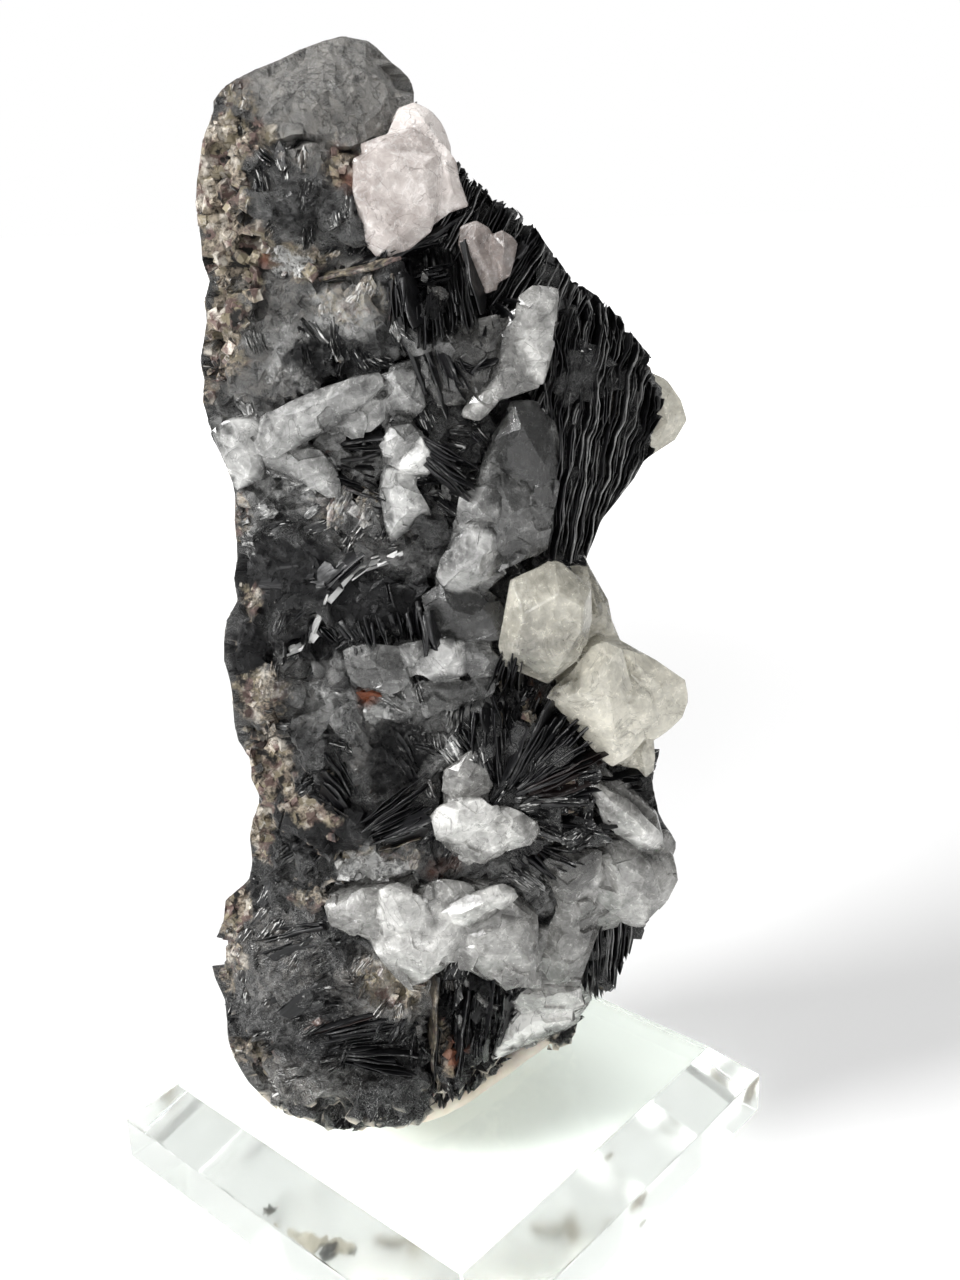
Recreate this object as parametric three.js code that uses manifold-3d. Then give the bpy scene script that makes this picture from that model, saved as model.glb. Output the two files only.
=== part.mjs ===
// Specularite with quartz: a hand-sized mineral specimen standing on a clear bevelled base.
// Millimetres, +Z up. The origin is the middle of the base's underside, the display side faces -Y.

import * as THREE from 'three';
import { ConvexGeometry } from 'three/addons/geometries/ConvexGeometry.js';
import { mergeVertices } from 'three/addons/utils/BufferGeometryUtils.js';
import Module from 'manifold-3d';

const wasm = await Module();
wasm.setup();

// Driving dimensions
const BASE_SIDE = 76;
const BASE_HEIGHT = 14;
const BASE_BEVEL = 6.5;
const SPECIMEN_TOP = 170.5;
const PUTTY_HEIGHT = 3.2;
const PUTTY_EDGE = 1;
const GAP = 0.3;
const FOOT = BASE_HEIGHT + GAP;

// The dark mass, section by section: height, left and right reach, front and back reach,
// and how far the section's right side leans back for each millimetre of width.
const MASS_SECTIONS = [
  { z: FOOT, left: -25, right: 21, front: -13, back: 14, lean: 0.2 },
  { z: 19, left: -31, right: 24, front: -15.5, back: 17, lean: 0.2 },
  { z: 28, left: -34.5, right: 26, front: -17, back: 19, lean: 0.16 },
  { z: 38, left: -36, right: 28, front: -17.5, back: 20, lean: 0.12 },
  { z: 46, left: -33.5, right: 29, front: -17.5, back: 20, lean: 0.08 },
  { z: 52, left: -30.5, right: 30, front: -17, back: 20, lean: 0.05 },
  { z: 60, left: -28, right: 29, front: -16.5, back: 20, lean: 0.05 },
  { z: 68, left: -27, right: 27, front: -16.5, back: 19, lean: 0.05 },
  { z: 76, left: -28, right: 23, front: -16, back: 19, lean: 0.05 },
  { z: 86, left: -29, right: 21, front: -16, back: 19, lean: 0.05 },
  { z: 93, left: -28.5, right: 19, front: -15.5, back: 18, lean: 0.05 },
  { z: 100, left: -26.8, right: 17, front: -15, back: 18, lean: 0.05 },
  { z: 110, left: -25.8, right: 16, front: -14.5, back: 18, lean: 0.05 },
  { z: 118, left: -26.8, right: 18, front: -14.5, back: 18, lean: 0.05 },
  { z: 126, left: -29, right: 19, front: -14.5, back: 17, lean: 0.05 },
  { z: 133, left: -28.6, right: 18, front: -14.5, back: 17, lean: 0.05 },
  { z: 140, left: -27.3, right: 15, front: -14, back: 16, lean: 0.05 },
  { z: 147, left: -27.3, right: 10, front: -13.5, back: 15, lean: 0.05 },
  { z: 153, left: -27, right: 5, front: -13, back: 14, lean: 0.05 },
  { z: 159, left: -25.8, right: 2.2, front: -12.5, back: 13, lean: 0.05 },
  { z: 163.5, left: -23.8, right: 1.8, front: -12, back: 12, lean: 0.05 },
  { z: 166.5, left: -19.5, right: 0.2, front: -11, back: 10, lean: 0.05 },
  { z: 169, left: -14, right: -2, front: -9, back: 7, lean: 0.05 },
  { z: SPECIMEN_TOP, left: -11, right: -4.5, front: -7, back: 3, lean: 0.05 },
];
const MASS_STEP = 6.8;
const MASS_AROUND = 23;
const MASS_SQUARENESS = 2.7;
const MASS_ROUGHNESS = 1.8;

// Random numbers that come out the same on each run
function seeded(seed) {
  let state = (seed * 2654435761) >>> 0;
  return () => {
    state = (state + 0x6d2b79f5) >>> 0;
    let mixed = Math.imul(state ^ (state >>> 15), 1 | state);
    mixed = (mixed + Math.imul(mixed ^ (mixed >>> 7), 61 | mixed)) ^ mixed;
    return ((mixed ^ (mixed >>> 14)) >>> 0) / 4294967296;
  };
}

// Closed geometry to solid, and back
function solidOf(geometry) {
  const bare = geometry.clone();
  bare.deleteAttribute('normal');
  bare.deleteAttribute('uv');
  const merged = mergeVertices(bare, 1e-4);
  return new wasm.Manifold(new wasm.Mesh({
    numProp: 3,
    vertProperties: new Float32Array(merged.attributes.position.array),
    triVerts: new Uint32Array(merged.index.array),
  }));
}

function geometryOf(solid) {
  const mesh = solid.getMesh();
  const geometry = new THREE.BufferGeometry();
  geometry.setAttribute('position', new THREE.BufferAttribute(new Float32Array(mesh.vertProperties), 3));
  geometry.setIndex(new THREE.BufferAttribute(new Uint32Array(mesh.triVerts), 1));
  return geometry;
}

function hull(points) {
  return solidOf(new ConvexGeometry(points));
}

function join(solids) {
  return solids.reduce((whole, solid) => whole.add(solid));
}

// The largest closed body of a solid, without the chips that a cut can leave
function largestBody(geometry) {
  const index = geometry.index.array;
  const owner = Array.from({ length: geometry.attributes.position.count }, (_, i) => i);
  const find = (i) => {
    let root = i;
    while (owner[root] !== root) {
      root = owner[root];
    }
    owner[i] = root;
    return root;
  };
  for (let i = 0; i < index.length; i += 3) {
    const first = find(index[i]);
    owner[find(index[i + 1])] = first;
    owner[find(index[i + 2])] = first;
  }
  const bodies = new Map();
  for (let i = 0; i < index.length; i += 3) {
    const root = find(index[i]);
    bodies.set(root, [...(bodies.get(root) ?? []), index[i], index[i + 1], index[i + 2]]);
  }
  const largest = [...bodies.values()].sort((a, b) => b.length - a.length)[0];
  const kept = geometry.clone();
  kept.setIndex(largest);
  return mergeVertices(kept.toNonIndexed(), 1e-5);
}

// The clear base: a square block, one corner to the front, with a wide bevel round its top
function displayBase() {
  const corner = BASE_SIDE / Math.SQRT2;
  const innerCorner = corner - BASE_BEVEL * Math.SQRT2;
  const points = [];
  for (let i = 0; i < 4; i++) {
    const x = Math.round(Math.cos(i * Math.PI / 2));
    const y = Math.round(Math.sin(i * Math.PI / 2));
    points.push(new THREE.Vector3(x * corner, y * corner, 0));
    points.push(new THREE.Vector3(x * corner, y * corner, BASE_HEIGHT - BASE_BEVEL));
    points.push(new THREE.Vector3(x * innerCorner, y * innerCorner, BASE_HEIGHT));
  }
  return hull(points);
}

// The putty pad that beds the specimen: a low rounded pad, showing at the right
function puttyPad(grow = 0) {
  const outline = [
    [-23, -7], [-12, -12], [-6, -15.6], [1.6, -12.8], [11.2, -4.2], [19, 3.4], [22.4, 9], [14, 13],
    [0, 14], [-16, 10], [-23, 3],
  ];
  const middle = new THREE.Vector2(0, 1);
  const points = outline.map(([x, y]) => {
    const out = new THREE.Vector2(x, y).sub(middle);
    return out.setLength(out.length() + grow - PUTTY_EDGE).add(middle);
  });
  const rounded = new THREE.SplineCurve([...points, points[0]]).getPoints(24).slice(0, -1);
  const pad = new THREE.ExtrudeGeometry(new THREE.Shape(rounded), {
    depth: PUTTY_HEIGHT + grow - PUTTY_EDGE * 2,
    bevelSize: PUTTY_EDGE,
    bevelThickness: PUTTY_EDGE,
    bevelSegments: 1,
  });
  return solidOf(pad.translate(0, 0, FOOT + PUTTY_EDGE));
}

// One section of the dark mass at a height, read off between the listed ones
function sectionAt(z) {
  const above = Math.max(1, MASS_SECTIONS.findIndex((section) => section.z >= z));
  const low = MASS_SECTIONS[above - 1];
  const high = MASS_SECTIONS[above];
  const t = (z - low.z) / (high.z - low.z);
  const section = {};
  for (const key of Object.keys(low)) {
    section[key] = THREE.MathUtils.lerp(low[key], high[key], t);
  }
  return section;
}

// A closed skin over rings of points, with a middle point closing each end
function skin(rings) {
  const around = rings[0].length;
  const points = rings.flat();
  const triangles = [];
  for (let level = 0; level + 1 < rings.length; level++) {
    for (let i = 0; i < around; i++) {
      const a = level * around + i;
      const b = level * around + (i + 1) % around;
      if ((level + i) % 2) {
        triangles.push(a, b, b + around, a, b + around, a + around);
      } else {
        triangles.push(a, b, a + around, b, b + around, a + around);
      }
    }
  }
  const middleOf = (ring) => ring.reduce((sum, p) => sum.add(p), new THREE.Vector3()).divideScalar(around);
  const bottom = points.push(middleOf(rings[0])) - 1;
  const top = points.push(middleOf(rings[rings.length - 1])) - 1;
  const last = (rings.length - 1) * around;
  for (let i = 0; i < around; i++) {
    const next = (i + 1) % around;
    triangles.push(bottom, next, i, top, last + i, last + next);
  }
  const geometry = new THREE.BufferGeometry().setFromPoints(points);
  geometry.setIndex(triangles);
  return solidOf(geometry);
}

function roughMass() {
  const random = seeded(11);
  const levels = Math.round((SPECIMEN_TOP - FOOT) / MASS_STEP);
  const rings = [];
  for (let level = 0; level <= levels; level++) {
    const z = FOOT + (SPECIMEN_TOP - FOOT) * level / levels;
    const { left, right, front, back, lean } = sectionAt(z);
    const middle = (left + right) / 2;
    const inside = level > 0 && level < levels;
    const ring = [];
    for (let i = 0; i < MASS_AROUND; i++) {
      const angle = (i + (random() - 0.5) * 0.5) / MASS_AROUND * Math.PI * 2;
      const across = Math.sign(Math.cos(angle)) * Math.abs(Math.cos(angle)) ** (2 / MASS_SQUARENESS);
      const deep = Math.sign(Math.sin(angle)) * Math.abs(Math.sin(angle)) ** (2 / MASS_SQUARENESS);
      const rough = 1 - random() * MASS_ROUGHNESS / 18;
      const x = middle + across * rough * (right - left) / 2;
      const y = deep * rough * (deep > 0 ? back : -front) + lean * (x - middle);
      ring.push(new THREE.Vector3(x, y, z + (inside ? (random() - 0.5) * MASS_STEP * 0.55 : 0)));
    }
    rings.push(ring);
  }
  return skin(rings);
}

// An irregular flat-faced block: the hull of scattered points on a squashed ball
function rockBlock(at, half, seed, count = 11) {
  const random = seeded(seed);
  const points = [];
  for (let i = 0; i < count; i++) {
    const up = 1 - 2 * (i + 0.5) / count;
    const angle = i * 2.4 + random() * 0.9;
    const flat = Math.sqrt(1 - up * up);
    const reach = 0.82 + random() * 0.3;
    points.push(new THREE.Vector3(
      at[0] + half[0] * reach * flat * Math.cos(angle),
      at[1] + half[1] * reach * flat * Math.sin(angle),
      at[2] + half[2] * reach * up,
    ));
  }
  return hull(points);
}

// A thin plate on edge, from its root to its tip in the front view, reaching from front to back
const PLATE_OUTLINE = [[0, 0.1], [0, 0.9], [0.75, 1], [1, 0.55], [0.8, 0]];
function plate({ root, tip, front, back, thick = 1.1 }, seed) {
  const random = seeded(seed);
  const along = new THREE.Vector3(tip[0] - root[0], 0, tip[1] - root[1]);
  const side = new THREE.Vector3(-along.z, 0, along.x).normalize();
  const points = [];
  for (const [s, w] of PLATE_OUTLINE) {
    const reach = s + (s > 0.5 ? (random() - 0.5) * 0.1 : 0);
    const y = front + (back - front) * w;
    const centre = new THREE.Vector3(root[0], y, root[1]).addScaledVector(along, reach);
    centre.addScaledVector(side, (random() - 0.5) * 0.5);
    const half = thick / 2 * (1.15 - 0.5 * s);
    points.push(centre.clone().addScaledVector(side, half));
    points.push(centre.clone().addScaledVector(side, -half));
  }
  return hull(points);
}

// Point on a line of [x, z] points, at a share of the way from its first to its last point
function along(line, share) {
  const place = Math.min(share, 0.9999) * (line.length - 1);
  const from = line[Math.floor(place)];
  const to = line[Math.floor(place) + 1];
  const t = place - Math.floor(place);
  return [from[0] + (to[0] - from[0]) * t, from[1] + (to[1] - from[1]) * t];
}

// A rosette: plates side by side, their roots on one line and their tips on another
const ROSETTES = [
  {
    // the big rosette of steep plates at the right
    count: 10, front: -14, back: 12, thick: 1.3,
    roots: [[13.5, 106], [17, 104.5], [20.5, 104.4], [22.4, 104.4], [23.5, 108]],
    tips: [[20.3, 135.5], [23.3, 139], [27.5, 136], [30.8, 132], [32.6, 125.6], [30.6, 119]],
  },
  {
    // the black fan up the right shoulder
    count: 7, front: -11, back: 11, thick: 1.4,
    roots: [[3, 148], [7, 142], [10, 136], [13, 130], [16, 124]],
    tips: [[6.2, 154.6], [11.4, 150.4], [16.4, 146.7], [19.4, 142.3], [21.6, 139.2]],
  },
  {
    // the rosette below the middle, spreading to the right
    count: 7, front: -18, back: -6, thick: 1.2,
    roots: [[5, 72], [7, 71], [8, 70], [8, 67]],
    tips: [[2.3, 79.6], [9.5, 87], [17.7, 84.5], [24.6, 77], [23, 70], [26, 64.5]],
  },
  {
    // ragged plates at the right edge
    count: 4, front: -10, back: 8, thick: 1.2,
    roots: [[20, 71], [22, 67], [24, 61]],
    tips: [[29.5, 72], [33, 68.3], [33.8, 64.6], [35.2, 58.5]],
  },
  {
    // the small fan low at the right
    count: 4, front: -12, back: 5, thick: 1.2,
    roots: [[21.5, 46], [23, 47.5], [24.5, 47.5]],
    tips: [[23, 30.4], [26.2, 31.5], [28.4, 36.8], [31, 44.6]],
  },
  {
    // the dark fan at the front corner of the foot
    count: 5, front: -18, back: -7, thick: 1.3,
    roots: [[-4, 39], [0, 42], [4, 42.3]],
    tips: [[-3.5, 18], [1.2, 20.5], [5, 25.5], [9.6, 34], [10.4, 38.4]],
  },
  {
    // hanging strands between the upper crystals
    count: 3, front: -17, back: -10, thick: 1,
    roots: [[-9, 138], [-3, 143.5], [2, 143]],
    tips: [[-9.5, 130.5], [1.3, 131.5], [3.8, 130.5]],
  },
];

function rosettePlates() {
  const plates = [];
  ROSETTES.forEach((rosette, number) => {
    for (let i = 0; i < rosette.count; i++) {
      const share = i / (rosette.count - 1);
      plates.push(plate({
        root: along(rosette.roots, share),
        tip: along(rosette.tips, share),
        front: rosette.front,
        back: rosette.back,
        thick: rosette.thick,
      }, number * 100 + i));
    }
  });
  return plates;
}

// Ledges and lumps that stand out of the mass: centre and half sizes
const LEDGES = [
  { at: [-11.6, -8.4, 163], half: [11.2, 5.2, 5.8] },
  { at: [-6.8, -13.5, 138.5], half: [4.6, 3.2, 4] },
  { at: [-16, -13, 151], half: [6, 3, 5] },
  { at: [-7, -13.5, 150], half: [4.5, 2.6, 4] },
  { at: [2, -13.5, 146.3], half: [9, 2.8, 1.6] },
  { at: [-10, -14, 100], half: [13, 3.2, 4.6] },
  { at: [-5, -16.6, 95.6], half: [7.5, 2, 2.4] },
  { at: [1, -16.8, 96.2], half: [1.2, 2, 4.8] },
  { at: [-22, -10, 88], half: [7, 6, 7] },
  { at: [-12, -15, 80], half: [8, 3.2, 8] },
  { at: [-14, -15, 68], half: [9, 3.4, 6] },
  { at: [-23, -12, 44], half: [9, 7, 9] },
  { at: [-20, -15, 29], half: [10, 5, 8] },
  { at: [-10, -15.5, 22], half: [9, 4.6, 6] },
  { at: [2, -13.5, 111], half: [5, 3, 4] },
  { at: [20, 6, 60], half: [11, 10, 14] },
  { at: [14, 12, 96], half: [10, 8, 16] },
  { at: [-12, 14, 60], half: [14, 7, 18] },
  { at: [-14, 12, 118], half: [12, 7, 16] },
  { at: [6, 14, 34], half: [14, 7, 12] },
  { at: [-4, 12, 142], half: [13, 6, 12] },
  { at: [4, 15, 84], half: [12, 6, 11] },
  { at: [-22, 8, 88], half: [9, 9, 12] },
  { at: [-24, 6, 32], half: [11, 10, 12] },
];

// Small crumbly lumps down the left edge, and the pits between them
const EDGE_LUMPS = 18;
const EDGE_LOW = 58;
const EDGE_HIGH = 162;
const PITS = [
  { at: [-25, -11, 153.5], half: [3.2, 4, 2] },
  { at: [-23.5, -13, 149], half: [2.2, 3, 1.8] },
  { at: [-24, -12, 141.5], half: [3.6, 4, 1.4] },
  { at: [-27, -10, 134], half: [3, 4, 1.8] },
  { at: [-12, -14.5, 158], half: [6, 3.6, 1.1] },
  { at: [1.8, -16, 114.8], half: [2.3, 4, 2.8] },
  { at: [13, -16.5, 89], half: [3.2, 4.5, 2] },
  { at: [-25, -13, 63], half: [2.8, 3, 3] },
  { at: [15.5, -14.5, 46.5], half: [2.4, 3, 1.4] },
  { at: [5, -13.5, 141], half: [5, 2.6, 2.6] },
];

// The slanting face under the foot's right side, where the specimen is undercut
const UNDERCUT = [
  [-3.5, -14, 14], [9, -2.2, 14], [19, 3, 14], [40, 8, 14], [40, -30, 14], [-3.5, -30, 14],
  [8, -17, 36], [13.5, -12, 36], [27, -4, 36], [42, 0, 36], [42, -30, 36], [8, -30, 36],
];

function edgeLumps() {
  const random = seeded(5);
  const lumps = [];
  for (let i = 0; i < EDGE_LUMPS; i++) {
    const z = EDGE_LOW + (EDGE_HIGH - EDGE_LOW) * (i + random() * 0.8) / EDGE_LUMPS;
    const { left } = sectionAt(z);
    const y = -10 + random() * 18;
    const half = [1.8 + random() * 1.4, 2 + random() * 1.6, 1.7 + random() * 1.3];
    lumps.push(rockBlock([left + 2 + random() * 1.2, y, z], half, 300 + i, 9));
  }
  return lumps;
}

// A quartz block from its outline in the front view, chamfered in front, and behind too where it
// isn't bedded in the mass
const QUARTZ_CUT = 0.42;
function quartzBlock({ outline, front, back, chamfer, bedded = true }, grow, seed) {
  const random = seeded(seed);
  const middle = outline.reduce((sum, p) => sum.add(new THREE.Vector2(p[0], p[1])), new THREE.Vector2());
  middle.divideScalar(outline.length);
  const points = [];
  for (const [x, z] of outline) {
    const out = new THREE.Vector2(x, z).sub(middle);
    const rim = out.clone().setLength(out.length() + grow).add(middle);
    const inner = out.clone().setLength(Math.max(0.3, out.length() - chamfer + grow)).add(middle);
    const slope = chamfer * (0.5 + random() * 0.8);
    const dip = random() * 0.7;
    points.push(new THREE.Vector3(rim.x, front + slope - grow, rim.y));
    points.push(new THREE.Vector3(inner.x, front + dip - grow, inner.y));
    if (bedded) {
      points.push(new THREE.Vector3(inner.x, back + grow, inner.y));
    } else {
      points.push(new THREE.Vector3(rim.x, back - slope + grow, rim.y));
      points.push(new THREE.Vector3(inner.x, back - dip + grow, inner.y));
    }
  }
  return hull(points);
}

// A quartz piece from its corners
function quartzShard({ corners }, grow) {
  const points = corners.map((corner) => new THREE.Vector3(...corner));
  const middle = points.reduce((sum, p) => sum.add(p), new THREE.Vector3()).divideScalar(points.length);
  return hull(points.map((p) => {
    const out = p.clone().sub(middle);
    return out.setLength(out.length() + grow * 1.3).add(middle);
  }));
}

// A six-sided quartz prism with a pointed end
function quartzPrism({ foot, tip, radius, point = 1.2 }, grow) {
  const from = new THREE.Vector3(...foot);
  const to = new THREE.Vector3(...tip);
  const axis = to.clone().sub(from).normalize();
  const across = new THREE.Vector3(0, 1, 0).cross(axis).normalize();
  const third = axis.clone().cross(across);
  const shoulder = to.clone().addScaledVector(axis, -radius * point);
  from.addScaledVector(axis, -grow);
  to.addScaledVector(axis, grow);
  const points = [to];
  for (let i = 0; i < 6; i++) {
    const angle = i * Math.PI / 3 + 0.35;
    const reach = (radius + grow) * (i % 2 ? 1 : 0.86);
    const out = across.clone().multiplyScalar(reach * Math.cos(angle));
    out.addScaledVector(third, reach * Math.sin(angle));
    points.push(from.clone().add(out));
    points.push(shoulder.clone().add(out));
  }
  return hull(points);
}

// The quartz, group by group. Outlines are x and z as seen from the front.
const QUARTZ_GROUPS = [
  {
    name: 'upper_quartz_block', color: 0xd8cdca,
    blocks: [
      {
        outline: [[-5.3, 158.3], [0.5, 159.4], [5, 158.2], [6.6, 155.8], [7.3, 150.6], [3.7, 148.2],
          [-1.4, 145], [-3.5, 144.6], [-5.8, 146.9], [-6.2, 152.7]],
        front: -16.2, back: -3, chamfer: 1.3,
      },
      {
        outline: [[0.4, 160.9], [1.4, 162.6], [3.8, 161.6], [5.4, 159.6], [6.2, 156.4], [4.2, 153],
          [0.5, 155]],
        front: -13, back: 3, chamfer: 1.4, bedded: false,
      },
    ],
  },
  {
    name: 'small_pink_crystal', color: 0xc6b9b4,
    blocks: [
      {
        outline: [[6.6, 148.5], [8.4, 149], [10.3, 146.6], [9.8, 141.4], [8.2, 141], [6.7, 143.9]],
        front: -15.6, back: -6, chamfer: 1.2,
      },
      {
        outline: [[9.4, 147.2], [12.1, 147.6], [13.4, 145.8], [12.5, 143.2], [9.6, 140], [8.6, 143]],
        front: -16.6, back: -6, chamfer: 1.4,
      },
    ],
  },
  {
    name: 'upper_quartz_shard', color: 0xd3d3cd,
    blocks: [
      {
        outline: [[10.4, 135.7], [13.2, 139.6], [15.7, 140.7], [17.8, 140.3], [17.5, 136.6], [16.3, 131],
          [15.3, 129.2], [11, 127.8], [9.8, 130.8]],
        front: -18.4, back: -8, chamfer: 1,
      },
      {
        outline: [[5.9, 125.4], [7.6, 124.3], [10.8, 127], [11.6, 129.4], [9, 130]],
        front: -17.6, back: -9, chamfer: 0.9,
      },
      {
        outline: [[1.9, 135.6], [7, 136.8], [11.4, 136.1], [10.8, 129.2], [8, 126.9], [3.2, 127],
          [1.1, 130.8]],
        front: -16.4, back: -6, chamfer: 1.2,
      },
    ],
  },
  {
    name: 'grey_quartz_band', color: 0xa9adab,
    blocks: [
      {
        outline: [[-22.6, 121.6], [-19.9, 125.2], [-14.9, 128.3], [-8.5, 130], [-3.3, 129.2], [-2.3, 127.2],
          [-8.8, 123.7], [-15.3, 121.5], [-19.3, 119.9]],
        front: -17.6, back: -6, chamfer: 1.2,
      },
      {
        outline: [[-5, 131.6], [0.6, 133.4], [2.6, 131.6], [1.9, 128.4], [0, 125.4], [-3.6, 125.2],
          [-5.4, 128]],
        front: -17, back: -6, chamfer: 1.1,
      },
      {
        outline: [[-25.6, 123], [-24, 118], [-20.5, 117.6], [-11.3, 115.6], [-9.6, 118.4], [-11.6, 121.6],
          [-20.3, 124]],
        front: -16.4, back: -5, chamfer: 1.2,
      },
      {
        outline: [[-5.6, 124.4], [-2.8, 126], [0, 125], [1.2, 119.6], [-0.2, 112], [-3.4, 109], [-5.8, 113.6],
          [-5.8, 119]],
        front: -16.8, back: -7, chamfer: 1.2,
      },
    ],
  },
  {
    name: 'centre_quartz', color: 0xb2b5b3,
    blocks: [
      {
        outline: [[8.5, 121.6], [11.8, 126], [16.2, 126.2], [17.2, 121.2], [17, 113.2], [15.6, 107.8],
          [12.8, 105.9], [7.4, 107.5], [4.9, 112.4], [6.4, 117.7]],
        front: -17, back: -6, chamfer: 1.8,
      },
      {
        outline: [[4.2, 114.3], [10.1, 114.8], [14.8, 110.6], [14.2, 106.3], [9.8, 103.8], [5.7, 99.3],
          [0.5, 97.6], [0, 102.2], [2, 106.5]],
        front: -18.8, back: -8, chamfer: 1.8,
      },
    ],
  },
  {
    name: 'right_quartz_cluster', color: 0xd9d6c4,
    blocks: [
      {
        // the pale crystal with broad flat faces
        outline: [[11.2, 103.8], [16.6, 106], [19, 104.8], [22.4, 100.2], [21.8, 93.4], [17.4, 89.2],
          [15.2, 88], [11.8, 90.8], [10, 95.4]],
        front: -21, back: -8, chamfer: 3.6,
      },
      {
        outline: [[17, 87], [20.6, 89.6], [28, 88.6], [31, 85.8], [32.2, 80.1], [28.6, 78], [23.8, 78.6],
          [19.4, 83]],
        front: -18.6, back: -4, chamfer: 2.6, bedded: false,
      },
      {
        outline: [[20.2, 91.2], [24, 93.2], [28.8, 91.8], [32.8, 88.8], [32.4, 85], [23.7, 84.8]],
        front: -15.4, back: 2, chamfer: 2, bedded: false,
      },
      {
        outline: [[31, 88], [36.2, 85], [37.2, 82.4], [36, 79.2], [32.8, 76.9], [30, 79.7], [29, 84.3]],
        front: -13, back: 4, chamfer: 2.2, bedded: false,
      },
      {
        outline: [[24.1, 80], [32, 79.4], [32.6, 73], [30.4, 71.4], [26, 72.4], [24, 75.3]],
        front: -13.4, back: 2, chamfer: 1.8, bedded: false,
      },
      {
        outline: [[18, 103], [21.4, 103], [24.6, 100.4], [26, 96.4], [27, 92.4], [23, 88], [18, 92]],
        front: -11, back: 3, chamfer: 1.6, bedded: false,
      },
    ],
  },
  {
    name: 'rear_cream_crystal', color: 0xdfdac6,
    blocks: [
      {
        outline: [[33.5, 126.9], [36.2, 125.2], [39.6, 121.7], [39.3, 118.2], [36.9, 115.8], [33.6, 112.6],
          [25, 113], [24, 124]],
        front: 0.5, back: 11, chamfer: 2.4, bedded: false,
      },
    ],
  },
  {
    name: 'middle_quartz_strip', color: 0xc4c6c1,
    blocks: [
      {
        outline: [[-10.8, 93.4], [-4, 95.2], [-1.6, 90.4], [-5, 87.2], [-9.8, 88.4]],
        front: -17.6, back: -10, chamfer: 1,
      },
      {
        outline: [[-4.4, 95], [2, 95.6], [5, 94.4], [5, 90.4], [-1.4, 90], [-4, 91.4]],
        front: -18.4, back: -10, chamfer: 0.9,
      },
      {
        outline: [[4, 95.6], [9.2, 95], [9, 91], [4.4, 90.2]],
        front: -18, back: -10, chamfer: 0.9,
      },
    ],
  },
  {
    name: 'white_quartz_clump', color: 0xdadad6,
    blocks: [
      {
        outline: [[0.9, 76], [4.2, 77.8], [6.9, 77.2], [8.4, 73], [8, 67], [3, 64], [0.6, 67]],
        front: -19.6, back: -9, chamfer: 2,
      },
      {
        outline: [[-0.9, 67.7], [2, 70.4], [8, 70.6], [13.9, 68.2], [14.5, 65.9], [11.5, 64], [5.8, 62],
          [1.6, 64.2]],
        front: -21.4, back: -9, chamfer: 2.4,
      },
    ],
  },
  {
    name: 'lower_quartz_band', color: 0xd2d3cf,
    blocks: [
      {
        outline: [[-17.4, 55.8], [-11.4, 58.4], [-5.6, 58.9], [-3, 52], [-9.2, 48], [-16.1, 52.4]],
        front: -18.8, back: -9, chamfer: 1.4,
      },
      {
        outline: [[-10.6, 55], [-4, 59.4], [-0.4, 55.6], [4, 50], [2, 45.6], [-1, 44.8], [-5, 41.8],
          [-9.2, 46.6]],
        front: -20.6, back: -9, chamfer: 1.8,
      },
      {
        outline: [[-2.6, 55.6], [3, 58], [9, 57.7], [14.6, 52.4], [14.2, 47], [2, 47]],
        front: -20.2, back: -8, chamfer: 1.6,
      },
      { foot: [-2, -12, 55], tip: [14.4, -19.6, 41], radius: 4.4 },
    ],
  },
  {
    name: 'lower_right_quartz', color: 0xd0d1cd,
    blocks: [
      { foot: [20, -6, 72], tip: [33.4, -14, 60.4], radius: 3.9 },
      {
        outline: [[16, 61], [22, 62.4], [25, 57], [22.4, 50], [17.6, 50.4], [15.8, 55.8]],
        front: -17.4, back: -4, chamfer: 1.6,
      },
      {
        outline: [[22, 62.4], [30, 63], [35.4, 57.8], [36, 54.2], [32, 48.4], [24, 45.6], [20, 50]],
        front: -15.4, back: 4, chamfer: 2.8, bedded: false,
      },
    ],
  },
  {
    name: 'foot_quartz', color: 0xd6d6d2,
    blocks: [
      {
        // lies along the undercut, down to the putty
        corners: [
          [8.6, -3.4, 16], [8.2, -5.6, 20], [14.6, -0.6, 16.8], [22.2, 2, 19], [24.6, -0.6, 25],
          [24.8, -5, 34], [24, -10, 43], [18, -14, 42.4], [11, -15, 38], [9.4, -13, 32], [8.4, -9.4, 25],
          [12, 7, 22], [22, 8, 24], [22, 4, 42], [12, 2, 42],
        ],
      },
      {
        outline: [[10, 44], [15, 49], [20, 46], [17, 38], [11, 38]],
        front: -15.6, back: -2, chamfer: 1.6,
      },
    ],
  },
];

function quartzSolid(group, grow) {
  return join(group.blocks.map((block, i) => {
    if (block.corners) {
      return quartzShard(block, grow);
    }
    return block.tip ? quartzPrism(block, grow) : quartzBlock(block, grow, i + 40);
  }));
}

// Finishes
const FINISHES = {
  clear: { color: 0xe9f1ef, roughness: 0.04, metalness: 0 },
  putty: { color: 0xd9cbb6, roughness: 0.75, metalness: 0 },
  specularite: { color: 0x3a3b3d, roughness: 0.45, metalness: 0.35 },
};

function named(name, solid, finish) {
  const geometry = largestBody(geometryOf(solid));
  geometry.computeVertexNormals();
  const mesh = new THREE.Mesh(geometry, new THREE.MeshStandardMaterial(finish));
  mesh.name = name;
  return mesh;
}

const part = new THREE.Group();
part.add(named('display_base', displayBase(), FINISHES.clear));
part.add(named('mounting_putty', puttyPad(), FINISHES.putty));

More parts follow.
